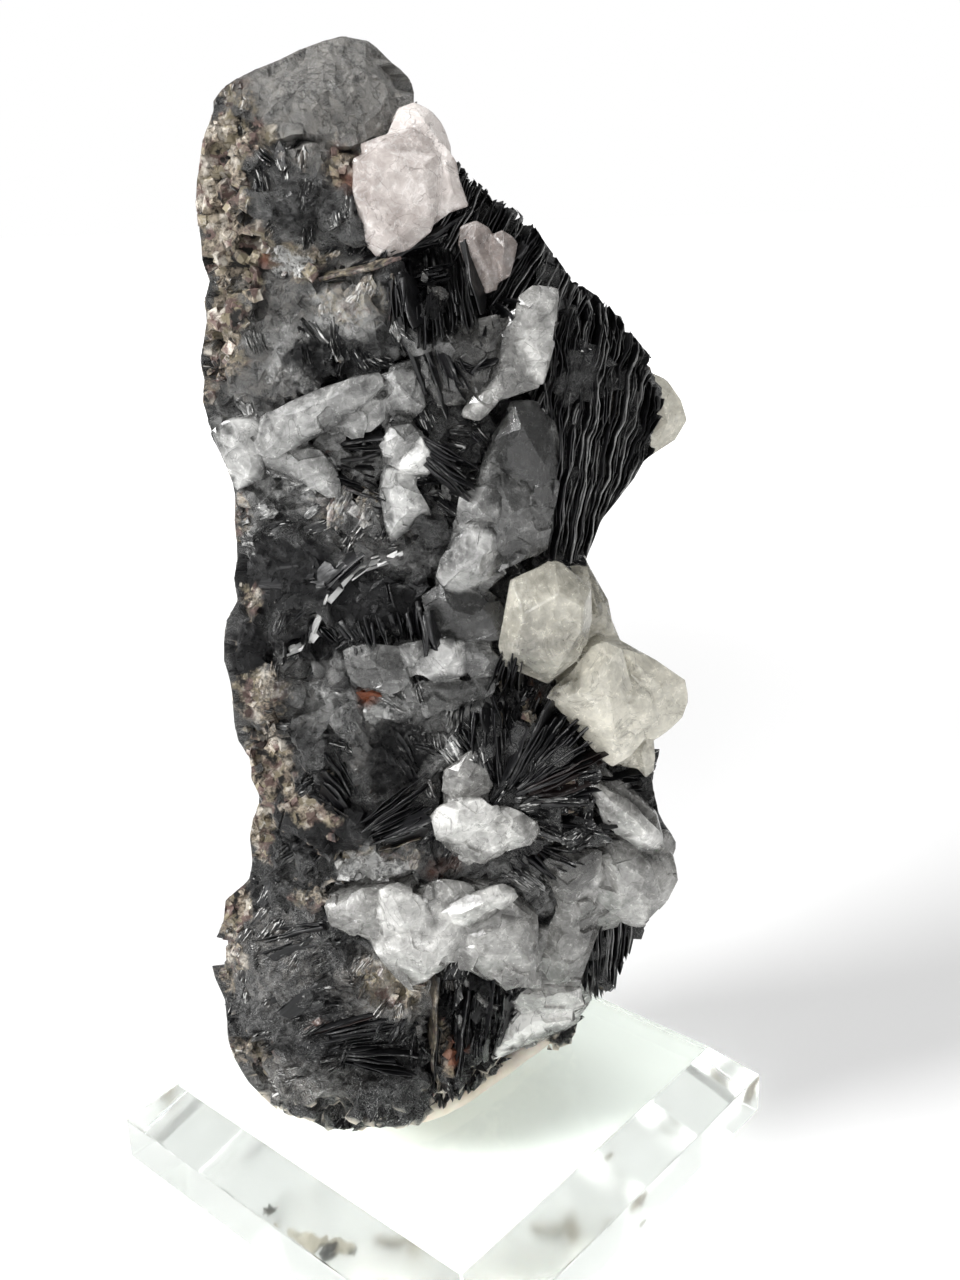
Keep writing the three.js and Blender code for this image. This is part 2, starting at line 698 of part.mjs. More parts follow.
const ledges = LEDGES.map(({ at, half }, i) => rockBlock(at, half, 60 + i, 14));
let mass = join([roughMass(), ...ledges, ...edgeLumps()]);
mass = PITS.reduce((whole, { at, half }, i) => whole.subtract(rockBlock(at, half, 90 + i, 9)), mass);
mass = join([mass, ...rosettePlates()]);
mass = mass.subtract(hull(UNDERCUT.map((corner) => new THREE.Vector3(...corner))));
for (const group of QUARTZ_GROUPS) {
  mass = mass.subtract(quartzSolid(group, QUARTZ_CUT));
}
mass = mass.subtract(puttyPad(GAP));
part.add(named('specularite', mass, FINISHES.specularite));

QUARTZ_GROUPS.forEach((group, number) => {
  const neighbours = [puttyPad(GAP)];
  neighbours.push(...QUARTZ_GROUPS.slice(0, number).map((other) => quartzSolid(other, QUARTZ_CUT)));
  const quartz = neighbours.reduce((rest, other) => rest.subtract(other), quartzSolid(group, 0));
  part.add(named(group.name, quartz, { color: group.color, roughness: 0.25, metalness: 0 }));
});

export default part;
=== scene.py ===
import math

import bpy
import numpy as np
from mathutils import Matrix, Vector
from mathutils.bvhtree import BVHTree
from mathutils.kdtree import KDTree


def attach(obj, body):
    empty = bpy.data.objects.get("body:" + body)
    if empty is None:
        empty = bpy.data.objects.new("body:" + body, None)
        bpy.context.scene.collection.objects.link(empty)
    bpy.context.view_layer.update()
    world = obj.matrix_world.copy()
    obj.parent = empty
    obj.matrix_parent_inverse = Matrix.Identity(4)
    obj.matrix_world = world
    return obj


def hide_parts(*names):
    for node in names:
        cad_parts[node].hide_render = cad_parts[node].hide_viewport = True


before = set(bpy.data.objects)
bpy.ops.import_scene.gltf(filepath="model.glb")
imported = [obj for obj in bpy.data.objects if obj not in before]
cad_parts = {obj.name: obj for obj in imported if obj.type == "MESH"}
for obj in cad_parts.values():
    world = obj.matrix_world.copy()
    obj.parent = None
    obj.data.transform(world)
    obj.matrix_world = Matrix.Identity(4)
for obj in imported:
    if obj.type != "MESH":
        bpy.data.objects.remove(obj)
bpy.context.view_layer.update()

MM = 0.001

# ---------------------------------------------------------------- camera
IMAGE_WIDTH = 960
IMAGE_HEIGHT = 1280
FOCAL_PIXELS = 1299.8
EYE = Vector((-3.1, -182.6, 152.5)) * MM
HEADING = math.radians(3.46)
PITCH = math.radians(19.17)
ROLL = math.radians(-1.78)
EYE_TURN = (
    Matrix.Rotation(-HEADING, 4, "Z")
    @ Matrix.Rotation(math.pi / 2 - PITCH, 4, "X")
    @ Matrix.Rotation(ROLL, 4, "Z")
)


def make_camera():
    data = bpy.data.cameras.new("camera")
    data.sensor_width = 36
    data.lens = data.sensor_width * FOCAL_PIXELS / IMAGE_HEIGHT
    data.clip_start = 0.005
    data.clip_end = 20
    camera = bpy.data.objects.new("camera", data)
    camera.matrix_world = Matrix.Translation(EYE) @ EYE_TURN
    bpy.context.scene.collection.objects.link(camera)
    bpy.context.scene.camera = camera


def pixel_ray(u, v):
    """Direction in which the camera sees a pixel of the 960 x 1280 frame."""
    out = Vector(((u - IMAGE_WIDTH / 2) / FOCAL_PIXELS, (IMAGE_HEIGHT / 2 - v) / FOCAL_PIXELS, -1))
    return (EYE_TURN.to_3x3() @ out).normalized()


def pixels_of(points):
    """Where the camera sees points: an array of u and v."""
    turn = np.array(EYE_TURN.to_3x3())
    local = (np.asarray(points, float) - np.array(EYE)) @ turn
    deep = np.minimum(local[:, 2], -1e-4)
    u = IMAGE_WIDTH / 2 - FOCAL_PIXELS * local[:, 0] / deep
    v = IMAGE_HEIGHT / 2 + FOCAL_PIXELS * local[:, 1] / deep
    return np.stack([u, v], axis=1)


# ---------------------------------------------------------------- the specimen's outline
# All in pixels of the frame: rows with their left and right ends, then the points along the top
OUTLINE_ROWS = (
    (100, 216, 416), (120, 211, 443), (140, 203, 452), (160, 201, 457), (180, 197, 474), (200, 196, 502),
    (220, 198, 530), (240, 201, 543), (260, 202, 558), (280, 210, 573), (300, 205, 603), (320, 207, 624),
    (340, 204, 636), (360, 200, 655), (380, 205, 667), (400, 203, 681), (420, 208, 687), (440, 214, 675),
    (460, 224, 644), (480, 232, 633), (500, 236, 617), (520, 235, 600), (540, 237, 593), (560, 237, 586),
    (580, 234, 597), (600, 238, 608), (620, 227, 612), (640, 224, 620), (660, 224, 656), (680, 230, 685),
    (700, 233, 689), (720, 234, 685), (740, 238, 661), (760, 251, 657), (780, 252, 652), (800, 262, 655),
    (820, 253, 660), (840, 250, 676), (860, 253, 675), (880, 249, 678), (900, 226, 668), (920, 224, 650),
    (940, 215, 641), (960, 210, 626), (980, 216, 618), (1000, 225, 612), (1020, 227, 596), (1040, 228, 580),
    (1060, 235, 560), (1080, 247, 540), (1100, 265, 520), (1120, 291, 500),
)
OUTLINE_TOP = (
    (205, 112), (212, 103), (221, 90), (235, 80), (254, 70), (279, 60), (299, 50), (323, 41), (342, 36),
    (368, 41), (380, 50), (388, 60), (401, 70), (411, 81), (416, 101), (430, 108), (442, 121), (452, 150),
)
EDGE_ROWS, EDGE_LEFT, EDGE_RIGHT = np.array(OUTLINE_ROWS, float).T
TOP_PLACES, TOP_ROWS = np.array(OUTLINE_TOP, float).T
# The cap's right edge, which a pale crystal behind it takes over further down
CAP_ROWS, CAP_RIGHT = (60, 70, 80, 90, 120, 128), (388, 401, 411, 414, 413, 404)
# Under the specimen, from left to right
OUTLINE_BOTTOM = (
    (205, 1000), (226, 1040), (241, 1070), (265, 1100), (300, 1122), (350, 1131), (420, 1130), (440, 1112),
    (475, 1090), (500, 1062), (540, 1040), (575, 1022), (600, 1008), (615, 990), (640, 932), (690, 900),
)
BOTTOM_PLACES, BOTTOM_ROWS = np.array(OUTLINE_BOTTOM, float).T
# The rows and columns between which each part of the outline holds
SIDE_FIRST_ROW, SIDE_LAST_ROW = 100, 1100
TOP_LAST_ROW = 150
BOTTOM_FIRST_ROW = 900
CAP_FIRST_ROW, CAP_LAST_ROW = 60, 126
CREST_LAST_ROW, CREST_LAST_COLUMN = 112, 412
# How far from the outline the rim of the mass is still drawn out to it
RIM_REACH, CAP_REACH = 11, 16


def moved_in_view(points, right, down):
    """Points moved by that many pixels across and down the frame, at the same distance."""
    turn = np.array(EYE_TURN.to_3x3())
    deep = -((points - np.array(EYE)) @ turn)[:, 2] / FOCAL_PIXELS
    return points + (right * deep)[:, None] * turn[:, 0] - (down * deep)[:, None] * turn[:, 1]


def trim(points, keep=0.12):
    """Brings back what would stick out past the specimen's outline, but for a share that it keeps."""
    u, v = pixels_of(points).T
    inside_u = np.clip(u, np.interp(v, EDGE_ROWS, EDGE_LEFT), np.interp(v, EDGE_ROWS, EDGE_RIGHT))
    across = np.where(v > SIDE_FIRST_ROW, (inside_u - u) * (1 - keep), 0)
    top = np.interp(u, TOP_PLACES, TOP_ROWS)
    down = np.where((v < TOP_LAST_ROW) & (v < top), (top - v) * (1 - keep), 0)
    return moved_in_view(points, across, down)


def lift_over(points):
    """Brings back what would hang out under the specimen."""
    u, v = pixels_of(points).T
    low = np.interp(u, BOTTOM_PLACES, BOTTOM_ROWS)
    down = np.where(v > BOTTOM_FIRST_ROW, np.minimum(low - v, 0) * 0.9, 0)
    return moved_in_view(points, np.zeros(len(points)), down)


def fill_out(points, normals):
    """Draws the rim of the mass out to the outline at the left and over the top."""
    u, v = pixels_of(points).T
    facing = np.abs(facing_of(points, normals))
    rim = np.clip((0.6 - facing) / 0.25, 0, 1)
    ragged = value_noise(points, 1.2 * MM, 61) * 1.6
    left = np.interp(v, EDGE_ROWS, EDGE_LEFT) + ragged
    near = (v > SIDE_FIRST_ROW) & (u - left < RIM_REACH) & (u - left > 0) & (v < SIDE_LAST_ROW)
    across = np.where(near, (left - u) * rim, 0)
    top = np.interp(u, TOP_PLACES, TOP_ROWS) + ragged * 0.5
    right = np.interp(v, CAP_ROWS, CAP_RIGHT)
    near = (v > CAP_FIRST_ROW) & (v < CAP_LAST_ROW) & (right - u < CAP_REACH) & (right - u > 0)
    across = np.where(near, (right - u) * rim, across)
    near = (u < CREST_LAST_COLUMN) & (v < CREST_LAST_ROW) & (v - top < RIM_REACH) & (v - top > 0)
    down = np.where(near, (top - v) * rim, 0)
    return moved_in_view(points, across, down)


# ---------------------------------------------------------------- small tools
def deselect():
    bpy.ops.object.select_all(action="DESELECT")


def activate(piece):
    deselect()
    piece.select_set(True)
    bpy.context.view_layer.objects.active = piece


def apply_modifier(piece, kind, **settings):
    activate(piece)
    modifier = piece.modifiers.new(kind.lower(), kind)
    for name, value in settings.items():
        setattr(modifier, name, value)
    bpy.ops.object.modifier_apply(modifier=modifier.name)


def copy_of(node, name):
    """A new piece with a merged copy of a CAD node's mesh."""
    piece = bpy.data.objects.new(name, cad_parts[node].data.copy())
    bpy.context.scene.collection.objects.link(piece)
    piece.data.materials.clear()
    activate(piece)
    bpy.ops.object.mode_set(mode="EDIT")
    bpy.ops.mesh.select_all(action="SELECT")
    bpy.ops.mesh.remove_doubles(threshold=1e-6)
    bpy.ops.object.mode_set(mode="OBJECT")
    return piece


def points_of(piece):
    points = np.zeros(len(piece.data.vertices) * 3)
    piece.data.vertices.foreach_get("co", points)
    return points.reshape(-1, 3)


def normals_of(piece):
    normals = np.zeros(len(piece.data.vertices) * 3, np.float32)
    piece.data.vertex_normals.foreach_get("vector", normals)
    return normals.reshape(-1, 3).astype(float)


def set_points(piece, points):
    piece.data.vertices.foreach_set("co", np.asarray(points, np.float32).ravel())
    piece.data.update()


def shade(piece, degrees):
    activate(piece)
    bpy.ops.object.shade_smooth_by_angle(angle=math.radians(degrees))


def finish_piece(piece, material, slot, *nodes):
    """The last steps for each piece: material, body and the CAD nodes it stands for. The slot is not used.
    """
    piece.data.materials.clear()
    piece.data.materials.append(material)
    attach(piece, "root")
    if nodes:
        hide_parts(*nodes)


HASH_X, HASH_Y, HASH_Z, HASH_SEED, HASH_MIX = 73856093, 19349663, 83492791, 2654435761, 1274126177


def value_noise(points, size, seed):
    """Smooth noise from -1 to 1 at each point, in lumps of about that size."""
    place = np.asarray(points) / size
    cell = np.floor(place).astype(np.int64)
    part = place - cell
    part = part * part * (3 - 2 * part)
    total = np.zeros(len(place))
    for corner in range(8):
        step = np.array([(corner >> axis) & 1 for axis in range(3)])
        at = cell + step
        mixed = at[:, 0] * HASH_X ^ at[:, 1] * HASH_Y ^ at[:, 2] * HASH_Z ^ seed * HASH_SEED
        mixed = ((mixed ^ (mixed >> 13)) & 0xFFFFFFFF) * HASH_MIX & 0xFFFFFFFF
        value = ((mixed ^ (mixed >> 16)) & 0xFFFF) / 32767.5 - 1
        total += value * np.prod(np.where(step, part, 1 - part), axis=1)
    return total


def bend(points, size, seed_u, seed_v):
    """Noise in two directions of the frame, to bend the edges of what is painted there."""
    return np.stack([value_noise(points, size, seed_u), value_noise(points, size, seed_v)], axis=1)


def unit(vectors):
    return vectors / np.maximum(np.linalg.norm(vectors, axis=-1, keepdims=True), 1e-12)


def facing_of(points, normals):
    """How squarely a surface faces the camera: 1 straight on, 0 edge on, below 0 turned away."""
    return np.einsum("ij,ij->i", unit(np.array(EYE) - points), normals)


def chip(piece, spacing, tilt, limit, seed, rise=0.0, where=None):
    """Breaks a surface into flat facets, each tilted and raised at random, as on fractured stone.

    The spacing is the size of a facet; no point moves further than the limit.
    """
    rng = np.random.default_rng(seed)
    points = points_of(piece)
    normals = normals_of(piece)
    cells = np.floor((points + rng.random(3) * spacing) / spacing).astype(np.int64)
    order = rng.permutation(len(points))
    _, first = np.unique(cells[order], axis=0, return_index=True)
    seeds = order[first]
    tree = KDTree(len(seeds))
    for number, point in enumerate(points[seeds]):
        tree.insert(point, number)
    tree.balance()
    nearest = np.array([tree.find(point)[1] for point in points])
    facing = unit(unit(normals[seeds]) + tilt * rng.normal(size=(len(seeds), 3)) * 0.6)
    level = rng.normal(size=len(seeds)) * rise
    slope = np.maximum(0.45, np.einsum("ij,ij->i", normals, facing[nearest]))
    push = np.einsum("ij,ij->i", points[seeds][nearest] - points, facing[nearest]) / slope
    push = np.clip(push + level[nearest], -limit, limit)
    if where is not None:
        push = push * where
    set_points(piece, points + normals * push[:, None])


def relax(piece, weights, rounds):
    """Draws each point towards the middle of its neighbours, by its weight."""
    pairs = np.zeros(len(piece.data.edges) * 2, np.int32)
    piece.data.edges.foreach_get("vertices", pairs)
    a, b = pairs.reshape(-1, 2).T
    points = points_of(piece)
    count = len(points)
    share = np.maximum(np.bincount(a, minlength=count) + np.bincount(b, minlength=count), 1)
    for _ in range(rounds):
        for axis in range(3):
            total = np.bincount(a, points[b, axis], count) + np.bincount(b, points[a, axis], count)
            points[:, axis] += weights * (total / share - points[:, axis])
    set_points(piece, points)


def crisp(piece, triangles):
    """Thins a mesh to that many triangles, which leaves its facets flat and their edges sharp."""
    apply_modifier(piece, "TRIANGULATE")
    count = len(piece.data.polygons)
    if count > triangles:
        apply_modifier(piece, "DECIMATE", ratio=triangles / count)


# ---------------------------------------------------------------- finishes
def grey(level):
    return level, level, level


# The matrix and what coats the stone, with painted shade in pits and in gaps of the matrix, and painted
# silver glints
EARTH_DARK, EARTH_LIGHT, EARTH_PALE = (0.025, 0.018, 0.013), (0.48, 0.41, 0.32), (0.70, 0.65, 0.57)
CLAY, OCHRE, EARTH_GAP_SHADE = (0.17, 0.115, 0.10), (0.28, 0.24, 0.165), (0.01, 0.009, 0.008)
FILM_DARK, FILM_LIGHT, FILM_THIN = grey(0.05), (0.74, 0.74, 0.72), (0.45, 0.45, 0.44)
RUST_DARK, RUST_LIGHT = (0.05, 0.012, 0.008), (0.27, 0.09, 0.04)
SILVER_GLINT, PIT_SHADE, PUTTY_SMEAR = (0.62, 0.62, 0.61), grey(0.004), (0.80, 0.73, 0.62)
# The stone itself; its streak, sheen and smooth light colours are painted sheen, its glint and speck
# colours painted glints, its haze partly painted sheen
STEEL_DARK, STEEL_LIGHT, STREAK_SHEEN = (0.002, 0.002, 0.0025), (0.016, 0.0165, 0.0175), (0.05, 0.051, 0.053)
SHEEN_DARK, SHEEN_LIGHT = grey(0.012), (0.23, 0.23, 0.225)
FLECK_DARK, FLECK_LIGHT = (0.016, 0.0145, 0.013), (0.35, 0.32, 0.285)
HAZE_DARK, HAZE_SHEEN_LIGHT = grey(0.008), (0.52, 0.52, 0.51)
GLINT, SPECK_GLINT, SEAM = (0.72, 0.72, 0.70), (0.70, 0.70, 0.68), grey(0.004)
SMOOTH_DARK, SMOOTH_SHEEN = (0.0015, 0.0015, 0.002), (0.035, 0.035, 0.036)
# The blades; their streak colour is painted sheen and their rim colour a painted highlight
BLADE_DARK, BLADE_LIGHT = (0.0015, 0.0015, 0.002), (0.006, 0.006, 0.007)
BLADE_STREAK_SHEEN, BLADE_RIM_HIGHLIGHT = (0.03, 0.03, 0.032), (0.27, 0.27, 0.265)
# The rest
QUARTZ_BORDER = grey(0.02)
BASE_TINT = (0.86, 0.90, 0.86, 1)
PUTTY_DARK, PUTTY_LIGHT = (0.82, 0.72, 0.59), (0.93, 0.86, 0.76)
FLOOR_GREY = (0.9, 0.9, 0.9, 1)
WHITE = (1, 1, 1, 1)
# Where the floor fades, in metres from the middle, and its glow there
FADE_REACH, FADE_GLOW = (0.16, 0.7), (0.1, 1.0)


class Finish:
    """A procedural material, built node by node on object coordinates."""

    def __init__(self, name):
        self.material = bpy.data.materials.new(name)
        self.material.use_nodes = True
        self.tree = self.material.node_tree
        self.shader = self.tree.nodes["Principled BSDF"]
        self.where = self.node("ShaderNodeTexCoord").outputs["Object"]

    def node(self, kind, settings=None, **inputs):
        made = self.tree.nodes.new(kind)
        for name, value in (settings or {}).items():
            setattr(made, name, value)
        for name, value in inputs.items():
            self.put(made.inputs[name.replace("_", " ")], value)
        return made

    def put(self, socket, value):
        if isinstance(value, bpy.types.NodeSocket):
            self.tree.links.new(value, socket)
        else:
            socket.default_value = value

    def set(self, **inputs):
        for name, value in inputs.items():
            self.put(self.shader.inputs[name.replace("_", " ")], value)

    def grain(self, size, detail=3.0, roughness=0.55, distortion=0.0):
        """Noise with lumps of that size in metres."""
        made = self.node("ShaderNodeTexNoise", Vector=self.where, Scale=1 / size, Detail=detail,
                         Roughness=roughness, Distortion=distortion)
        return made.outputs["Fac"]

    def vector(self, kind, a, b, output="Vector"):
        """Vector arithmetic; the second value of a scale is its factor."""
        made = self.node("ShaderNodeVectorMath", {"operation": kind})
        self.put(made.inputs[0], a)
        self.put(made.inputs["Scale" if kind == "SCALE" else 1], b)
        return made.outputs[output]

    def streaks(self, along, across, detail=3.0):
        """Noise drawn out along the way the blades lie, which each point carries as lay."""
        lay = self.node("ShaderNodeAttribute", {"attribute_name": "lay"}).outputs["Vector"]
        run = self.vector("DOT_PRODUCT", self.where, lay, "Value")
        shift = self.vector("SCALE", lay, self.maths("MULTIPLY", run, across / along - 1))
        place = self.vector("ADD", self.where, shift)
        made = self.node("ShaderNodeTexNoise", Vector=place, Scale=1 / across, Detail=detail)
        return made.outputs["Fac"]

    def cells(self, size):
        """Cells of that size, each with a colour of its own: its three parts."""
        made = self.node("ShaderNodeTexVoronoi", Vector=self.where, Scale=1 / size)
        return self.node("ShaderNodeSeparateColor", Color=made.outputs["Color"]).outputs

    def attribute(self, name):
        return self.node("ShaderNodeAttribute", {"attribute_name": name}).outputs["Fac"]

    def span(self, value, low, high, to_low=0.0, to_high=1.0, ease="LINEAR"):
        """Maps the range from low to high on another, and holds what lies outside."""
        made = self.node("ShaderNodeMapRange", {"interpolation_type": ease}, Value=value)
        ends = {"From Min": low, "From Max": high, "To Min": to_low, "To Max": to_high}
        for name, number in ends.items():
            made.inputs[name].default_value = number
        return made.outputs["Result"]

    def maths(self, kind, a, b):
        made = self.node("ShaderNodeMath", {"operation": kind})
        self.put(made.inputs[0], a)
        self.put(made.inputs[1], b)
        return made.outputs[0]

    def plus(self, a, b):
        return self.maths("ADD", a, b)

    def centred(self, value, gain):
        """Noise about zero instead of about a half."""
        return self.maths("MULTIPLY", self.maths("SUBTRACT", value, 0.5), gain)

    def painted(self, name, value, gain):
        """A painted attribute whose edge is broken up by noise."""
        return self.plus(self.attribute(name), self.centred(value, gain))

    def lines(self, value, width, strength):
        """Thin lines where noise crosses its middle value."""
        away = self.maths("ABSOLUTE", self.maths("SUBTRACT", value, 0.5), 0)
        return self.span(away, width, 0.0, 0, strength)

    def mix(self, share, a, b):
        made = self.node("ShaderNodeMix", {"data_type": "RGBA"})
        self.put(made.inputs[0], share)
        self.put(made.inputs[6], a if isinstance(a, bpy.types.NodeSocket) else (*a, 1))
        self.put(made.inputs[7], b if isinstance(b, bpy.types.NodeSocket) else (*b, 1))
        return made.outputs[2]

    def blend(self, share, a, b):
        made = self.node("ShaderNodeMix", {"data_type": "FLOAT"})
        self.put(made.inputs[0], share)
        self.put(made.inputs[2], a)
        self.put(made.inputs[3], b)
        return made.outputs[0]

    def bump(self, height, depth, strength=1.0, under=None):
        made = self.node("ShaderNodeBump", Height=height, Distance=depth, Strength=strength)
        if under is not None:
            self.put(made.inputs["Normal"], under)
        return made.outputs["Normal"]

    def constant(self, **inputs):
        """Sets sockets of the shader that always hold one plain value."""
        for name, value in inputs.items():
            self.shader.inputs[name.replace("_", " ")].default_value = value


def coated(finish, dark):
    """Lays the painted colours over the dark stone: brown matrix, quartz film, rust, silver glints and
    pits; the glints are painted highlights and the pits painted shade.
    """
    lump = finish.grain(3.0 * MM, 6, 0.62)
    fine = finish.grain(0.6 * MM, 5, 0.7)
    crumb = finish.cells(1.3 * MM)
    earth = finish.mix(finish.span(fine, 0.36, 0.64), EARTH_DARK, EARTH_LIGHT)
    earth = finish.mix(finish.span(crumb[0], 0.6, 0.75), earth, CLAY)
    earth = finish.mix(finish.span(crumb[1], 0.7, 0.85), earth, OCHRE)
    earth = finish.mix(finish.span(lump, 0.54, 0.64), earth, EARTH_PALE)
    # Painted shade in the gaps between lumps
    earth = finish.mix(finish.span(lump, 0.46, 0.40), earth, EARTH_GAP_SHADE)
    film = finish.mix(finish.span(fine, 0.36, 0.62), FILM_DARK, FILM_LIGHT)
    film = finish.mix(finish.span(lump, 0.45, 0.6), film, FILM_THIN)
    colour = finish.mix(finish.span(finish.painted("earth", fine, 0.9), 0.3, 0.6), dark, earth)
    colour = finish.mix(finish.span(finish.painted("milk", fine, 1.1), 0.35, 0.6), colour, film)
    colour = finish.mix(finish.attribute("rust"), colour, finish.mix(fine, RUST_DARK, RUST_LIGHT))
    # Painted silver glints, where the face is also made partly metallic
    silver = finish.span(finish.painted("silver", fine, 1.2), 0.35, 0.55)
    colour = finish.mix(silver, colour, SILVER_GLINT)
    # Painted shade in pits and crevices
    colour = finish.mix(finish.attribute("pit_shade"), colour, PIT_SHADE)
    colour = finish.mix(finish.attribute("smear"), colour, PUTTY_SMEAR)
    return colour, finish.maths("MULTIPLY", silver, 0.6)


def specularite_finish():
    """Black to steel-grey stone with seams, with painted sheen along directional streaks and painted
    glints.
    """
    finish = Finish("specularite_finish")
    lump = finish.grain(2.6 * MM, 5)
    mottle = finish.grain(1.1 * MM, 4, 0.65)
    fine = finish.grain(0.3 * MM, 3, 0.7)
    streak = finish.streaks(4 * MM, 0.4 * MM)
    broad = finish.streaks(14 * MM, 3.2 * MM)
    scratch = finish.centred(finish.streaks(3 * MM, 0.3 * MM), 1.3)
    scratch = finish.plus(finish.centred(mottle, 1.0), scratch)
    dark = finish.mix(finish.span(lump, 0.35, 0.7), STEEL_DARK, STEEL_LIGHT)
    # Painted sheen along the fine streaks
    dark = finish.mix(finish.span(streak, 0.52, 0.75), dark, STREAK_SHEEN)
    # Painted sheen along the broad streaks
    sheen = finish.mix(finish.span(streak, 0.38, 0.66), SHEEN_DARK, SHEEN_LIGHT)
    dark = finish.mix(finish.span(broad, 0.54, 0.66, 0, 0.7), dark, sheen)
    fleck = finish.mix(finish.span(scratch, -0.2, 0.3), FLECK_DARK, FLECK_LIGHT)
    dark = finish.mix(finish.span(finish.painted("fleck", mottle, 1.2), 0.3, 0.95, 0, 0.85), dark, fleck)
    # Grey haze, partly the stone's own grey and partly painted sheen
    haze_and_sheen = finish.mix(finish.span(scratch, -0.22, 0.32), HAZE_DARK, HAZE_SHEEN_LIGHT)
    dark = finish.mix(finish.span(finish.painted("haze_and_sheen", lump, 1.6), 0.3, 0.8), dark, haze_and_sheen)
    # Painted glints along fine streaks, more of them where the stone is flecked
    glint = finish.plus(finish.centred(finish.streaks(1.8 * MM, 0.26 * MM), 1.0),
                        finish.maths("MULTIPLY", finish.attribute("fleck"), 0.08))
    dark = finish.mix(finish.span(glint, 0.105, 0.15, 0, 0.95), dark, GLINT)
    dark = finish.mix(finish.lines(finish.grain(5 * MM, 6, 0.6), 0.012, 0.8), dark, SEAM)
    # Painted glints in fine specks
    dark = finish.mix(finish.span(fine, 0.70, 0.74, 0, 0.8), dark, SPECK_GLINT)
    # Smooth black patches, with painted sheen along their streaks
    smooth = finish.mix(finish.span(streak, 0.5, 0.8), SMOOTH_DARK, SMOOTH_SHEEN)
    dark = finish.mix(finish.span(finish.painted("black", mottle, 0.8), 0.3, 0.6), dark, smooth)
    colour, metal = coated(finish, dark)
    soft = finish.maths("MAXIMUM", finish.attribute("earth"), finish.attribute("milk"))
    gloss = finish.span(finish.cells(0.4 * MM)[0], 0, 1, 0.22, 0.5)
    finish.set(Base_Color=colour, Roughness=finish.blend(soft, gloss, 0.65), Metallic=metal)
    finish.constant(IOR=1.42)
    rough = finish.bump(finish.grain(0.8 * MM, 5, 0.65), 0.3 * MM, 0.8)
    finish.set(Normal=finish.bump(streak, 0.25 * MM, 0.8, rough))
    return finish.material


def blade_finish():
    """Black glossy sheets, with a painted highlight along their rims and painted sheen along streaks."""
    finish = Finish("blade_finish")
    fine = finish.grain(0.3 * MM, 3, 0.65)
    streak = finish.streaks(5 * MM, 0.35 * MM)
    dark = finish.mix(finish.span(finish.grain(2.2 * MM, 3), 0.35, 0.75), BLADE_DARK, BLADE_LIGHT)
    # Painted sheen along the streaks
    dark = finish.mix(finish.span(streak, 0.56, 0.8), dark, BLADE_STREAK_SHEEN)
    # Painted highlight along the rims, broken up by noise
    broken = finish.plus(finish.centred(fine, 1.2), finish.centred(finish.grain(1.8 * MM, 2), 1.6))
    edge = finish.plus(finish.attribute("rim"), broken)
    dark = finish.mix(finish.span(edge, 0.5, 1.1, 0, 0.9), dark, BLADE_RIM_HIGHLIGHT)
    colour, metal = coated(finish, dark)
    finish.set(Base_Color=colour, Roughness=finish.span(fine, 0.3, 0.7, 0.28, 0.5), Metallic=metal)
    finish.constant(IOR=1.45)
    finish.set(Normal=finish.bump(streak, 0.15 * MM, 0.7, finish.bump(fine, 0.05 * MM, 0.5)))
    return finish.material


def quartz_finish(name, milky, clear, veil, flawed):
    """Quartz: clear and milky where it is painted so, with white veils, fine cracks and dark borders."""
    finish = Finish(name)
    cloud = finish.grain(6.0 * MM, 4, 0.55, 0.3)
    mottle = finish.grain(1.3 * MM, 5, 0.65, 0.5)
    fine = finish.grain(0.35 * MM, 4, 0.7)
    body = finish.plus(finish.maths("MULTIPLY", finish.attribute("tone"), 0.44),
                       finish.plus(finish.centred(cloud, 0.9), finish.centred(mottle, 0.7)))
    body = finish.span(body, -0.36, 0.46)
    colour = finish.mix(finish.span(body, 0.35, 1.0), clear, milky)
    shadow = tuple(part * 0.3 for part in clear)
    cracks = (
        (4.2 * MM, 0.016, flawed, veil),
        (2.0 * MM, 0.02, flawed * 0.8, veil),
        (5.0 * MM, 0.010, 0.6, shadow),
    )
    for size, width, strength, tint in cracks:
        colour = finish.mix(finish.lines(finish.grain(size, 4, 0.5, 1.1), width, strength), colour, tint)
    colour = finish.mix(finish.span(fine, 0.66, 0.74, 0.0, 0.35), colour, veil)
    broken = finish.plus(finish.centred(mottle, 1.2), finish.centred(fine, 1.0))
    border = finish.span(finish.plus(finish.attribute("border"), broken), 0.5, 0.75, 0, 0.9)
    colour = finish.mix(border, colour, QUARTZ_BORDER)
    finish.set(Base_Color=colour, Roughness=finish.span(mottle, 0.35, 0.7, 0.12, 0.34))
    finish.constant(IOR=1.544, Subsurface_Weight=0.3, Subsurface_Scale=1.2 * MM,
                    Subsurface_Radius=(1, 1, 1))
    finish.set(Transmission_Weight=finish.blend(border, finish.span(body, 0, 1, 0.92, 0.06), 0.0))
    finish.set(Normal=finish.bump(mottle, 0.22 * MM, 0.4, finish.bump(fine, 0.05 * MM, 0.3)))
    return finish.material


def base_finish():
    """Clear, polished, with a faint green tint."""
    finish = Finish("clear_base_finish")
    finish.set(Base_Color=BASE_TINT, Roughness=finish.span(finish.grain(9 * MM, 3), 0.3, 0.7, 0.05, 0.11))
    finish.constant(IOR=1.49, Transmission_Weight=1)
    finish.set(Normal=finish.bump(finish.grain(14 * MM, 2), 0.02 * MM, 0.3))
    return finish.material


